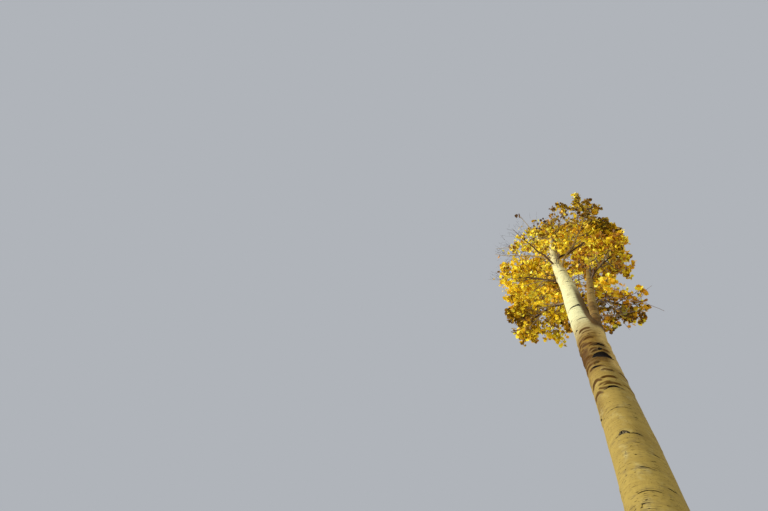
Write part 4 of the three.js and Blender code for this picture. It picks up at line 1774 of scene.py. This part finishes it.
def grow_leaves():
    dice = np.random.default_rng(SEED + 9)
    place = np.array([s[0] for s in sprays])
    way = np.array([s[1] for s in sprays])
    owner = np.array([s[2] for s in sprays])
    age = np.array([s[3] for s in sprays])
    count = dice.integers(1, 5, len(sprays))
    # the tint of a spray: what its mass leans to, a slow drift, and chance
    drift = layered(place * 1.9, 500, 2)
    fine = layered(place * 7.0, 520, 2)
    chance = dice.random(len(sprays))
    lean = np.array([TINT_NAMES.index(masses[k].tint) for k in owner])
    shares = np.cumsum([TINTS[t][0] for t in TINT_NAMES])
    pick = np.clip(dice.random(len(sprays)) * 0.6 + 0.2 + 0.55 * drift + 0.35 * fine, 0, 0.999)
    dealt = np.searchsorted(shares, pick)
    tint = np.where(chance < 0.40, lean, np.minimum(dealt, len(TINT_NAMES) - 1))

    s = np.repeat(np.arange(len(sprays)), count)
    n = len(s)
    which = np.concatenate([np.arange(c) for c in count])
    # stalks fan out round the twig
    turn = which * 2.4 + np.repeat(dice.random(len(sprays)) * 6.283, count) + dice.normal(0, 0.35, n)
    along = way[s]
    side = unit(np.cross(along, np.where(np.abs(along[:, 2:]) > 0.9, (1.0, 0, 0), (0, 0, 1.0))))
    up = np.cross(along, side)
    lean_out = dice.uniform(0.3, 1.25, n)
    out = unit(
        along * np.cos(lean_out)[:, None]
        + (side * np.cos(turn)[:, None] + up * np.sin(turn)[:, None]) * np.sin(lean_out)[:, None]
    )
    stalk = dice.uniform(0.6, 1.0, n) * 0.040
    foot = place[s] + (dice.random(n) * -0.02)[:, None] * along
    droop = dice.uniform(0.15, 0.75, n)
    bend = unit(out + (0, 0, -1) * droop[:, None])
    base = foot + out * (stalk * 0.5)[:, None] + bend * (stalk * 0.5)[:, None]
    length = LEAF_LENGTH * np.clip(dice.normal(1.0, 0.15, n), 0.6, 1.3)
    length = length * (0.80 + 0.26 * smooth(7.0, 11.0, place[s][:, 2]))
    # the blade hangs from its stalk and turns any way, rather more toward the light
    tip = unit(bend * 0.8 + (0, 0, -0.40) + dice.normal(0, 0.42, (n, 3)))
    light = np.array((SUN_WAY[0] * 0.75, SUN_WAY[1] * 0.75, -0.45))
    face = dice.normal(size=(n, 3)) * 0.75 + light
    face = unit(face - tip * np.sum(face * tip, 1)[:, None])
    face *= np.where(dice.random(n) < 0.5, 1, -1)[:, None]
    across = np.cross(tip, face)

    # blades clear of the stems, and of the lines of sight to them
    middle = base + tip * (length * 0.5)[:, None]
    keep = np.ones(n, bool)
    luck = dice.random(n)
    hides, v = in_front(middle, TRUNK_BAND, 2.2)
    keep &= ~(hides & (v > 262) & (luck < 0.985))
    keep &= ~(hides & (v > 249) & (v <= 262) & (luck < 0.80))
    keep &= ~(hides & (v > 242) & (v <= 249) & (luck < 0.30))
    keep &= ~(hides & (v <= 242) & (luck < 0.80))
    for sight, left in SHOWN:
        keep &= ~(before(middle, sight, 1.9) & (luck < 1 - left))
    hides, v = in_front(middle, LEADER_BAND, 1.4)
    keep &= ~(hides & (v > 290) & (luck < 0.85))
    off = middle - axis_of(TRUNK, middle[:, 2])
    keep &= np.linalg.norm(off[:, :2], axis=1) > through(TRUNK, 3, middle[:, 2]) / 2 + 0.022
    lo = np.array(CAD_BOX[0]) - 0.02
    hi = np.array(CAD_BOX[1]) + 0.02
    keep &= ((middle > lo) & (middle < hi)).all(1)

    wide = dice.normal(1.04, 0.06, n)
    fold = dice.uniform(0.05, 0.42, n)
    curl = dice.normal(0.0, 0.16, n)
    wave = dice.normal(0.0, 0.05, n)
    x = BLADE[:, 0][None, :] * wide[:, None]
    y = np.broadcast_to(BLADE[:, 1][None, :], x.shape)
    z = (
        fold[:, None] * np.abs(x)
        + curl[:, None] * (y - 0.35) ** 2
        + wave[:, None] * np.sin(9 * y + 4 * x)
    )
    blade = base[:, None, :] + length[:, None, None] * (
        x[..., None] * across[:, None, :] + y[..., None] * tip[:, None, :] + z[..., None] * face[:, None, :]
    )
    # the stalk is a thin ribbon, flattened across the blade
    thin = 0.0011
    sideways = unit(np.cross(out, face) + 1e-6)
    stalk_points = np.stack(
        (
            foot - sideways * thin,
            foot + sideways * thin,
            base - sideways * thin * 0.8,
            base + sideways * thin * 0.8,
        ),
        1,
    )
    points = np.concatenate((blade, stalk_points), 1)
    # painted shade and light: leaves take darker shades at the top and the foot of the crown
    # as the camera sees it, lighter ones on its right and on the left of its middle
    u, v, _ = photo(middle)
    luck = dice.random(n) + 0.50 * smooth(236, 218, v) + 0.26 * smooth(298, 318, v)
    luck = luck - 0.26 * smooth(566, 580, u) * smooth(222, 234, v) * smooth(296, 280, v)
    luck = luck - 0.20 * smooth(566, 552, u) * smooth(250, 262, v) * smooth(312, 298, v)
    # painted shade and light: whole clumps take darker or lighter shades
    luck = luck + 0.42 * noise(middle * 3.1, 720) + 0.20 * noise(middle * 7.5, 730)
    shade = np.searchsorted(SHADE_SHARES, luck)
    return points[keep], tint[s][keep], shade[keep], owner[s][keep]


leaf_points, leaf_tint, leaf_shade, leaf_owner = grow_leaves()
LEAF_TRIANGLES = len(BLADE_FACES) + len(STALK_FACES)

stalk_material = plain("leaf_stalk", lin(196, 160, 74), 0.55)
MOST = 180000 // LEAF_TRIANGLES
leaf_pieces = []
for number, name in enumerate(TINT_NAMES):
    shades = [
        plain(f"leaf_{name}_{k + 1}", lin(*colour), 0.60, 0.20)
        for k, colour in enumerate(TINTS[name][1])
    ]
    chosen = np.where(leaf_tint == number)[0]
    parts = max(1, math.ceil(len(chosen) / MOST))
    for part in range(parts):
        some = chosen[part::parts]
        if not len(some):
            continue
        points = leaf_points[some]
        each = points.shape[1]
        faces = np.concatenate((BLADE_FACES, STALK_FACES + len(BLADE)))
        corners = (np.arange(len(some))[:, None, None] * each + faces[None]).reshape(-1)
        counts = np.full(len(some) * len(faces), 3)
        worn = np.empty((len(some), len(faces)), int)
        worn[:] = leaf_shade[some][:, None]
        worn[:, len(BLADE_FACES) :] = len(shades)
        made = make_mesh(
            f"leaves_{name}" + (f"_{part + 1}" if parts > 1 else ""),
            points.reshape(-1, 3),
            corners,
            counts,
            shades + [stalk_material],
            worn=worn.ravel(),
        )
        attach(made, "root")
        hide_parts(*sorted({"foliage_" + masses[k].name for k in leaf_owner[some]}))
        leaf_pieces.append(made)

twig_piece = twigs.make("twigs", twig_materials)
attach(twig_piece, "root")

# ----------------------------------------------------------------- floor and light


def floor_material():
    g = Graph("floor")
    place = g.place()
    soft = g.noise(place, 0.35, 3.0, 0.5)
    base = g.mix(g.step(soft, 0.3, 0.7), lin(206, 204, 198), lin(212, 210, 204))
    shader = g.add("ShaderNodeBsdfPrincipled", {"Base Color": base})
    shader.inputs["Roughness"].default_value = 0.9
    g.tree.links.new(shader.outputs[0], g.out.inputs[0])
    return g.material


floor_mesh = bpy.data.meshes.new("floor")
floor_mesh.from_pydata(
    [(-160, -160, -0.0005), (160, -160, -0.0005), (160, 160, -0.0005), (-160, 160, -0.0005)],
    [],
    [(0, 1, 2, 3)],
)
floor_mesh.materials.append(floor_material())
floor = bpy.data.objects.new("floor", floor_mesh)
bpy.context.scene.collection.objects.link(floor)

world = bpy.data.worlds.new("World")
bpy.context.scene.world = world
world.use_nodes = True
backdrop = world.node_tree.nodes["Background"]
backdrop.inputs[0].default_value = lin(176, 180, 186)
backdrop.inputs[1].default_value = 1.0
bpy.context.scene.view_settings.view_transform = "Standard"


def aim(made, toward):
    way = Vector(toward) - made.location
    made.rotation_mode = "QUATERNION"
    made.rotation_quaternion = way.to_track_quat("-Z", "Y")


def sun(name, way, rise, energy, soft, colour):
    """A far light: where it comes from, degrees, and how soft it is."""
    made = bpy.data.objects.new(name, bpy.data.lights.new(name, "SUN"))
    made.data.energy = energy
    made.data.angle = rad(soft)
    made.data.color = colour
    bpy.context.scene.collection.objects.link(made)
    from_there = Vector(
        (math.cos(rad(way)) * math.cos(rad(rise)), math.sin(rad(way)) * math.cos(rad(rise)), math.sin(rad(rise)))
    )
    made.location = from_there * 20
    aim(made, (0, 0, 0))
    return made


sun("key", -152, 30, 2.3, 14, (1.0, 1.0, 1.0))
sun("low_fill", -52, 4, 0.35, 70, (1.0, 1.0, 1.0))
sun("back_light", 82, 22, 0.8, 40, (1.0, 1.0, 1.0))

fill = bpy.data.objects.new("fill", bpy.data.lights.new("fill", "AREA"))
fill.data.shape = "RECTANGLE"
fill.data.size, fill.data.size_y = 6.0, 4.0
fill.data.energy = 260
fill.data.spread = rad(80)
fill.data.color = (1.0, 1.0, 1.0)
fill.location = (-10.2, -6.0, 2.2)
bpy.context.scene.collection.objects.link(fill)
aim(fill, (-0.2, 0.0, 10.8))
fill.visible_camera = False
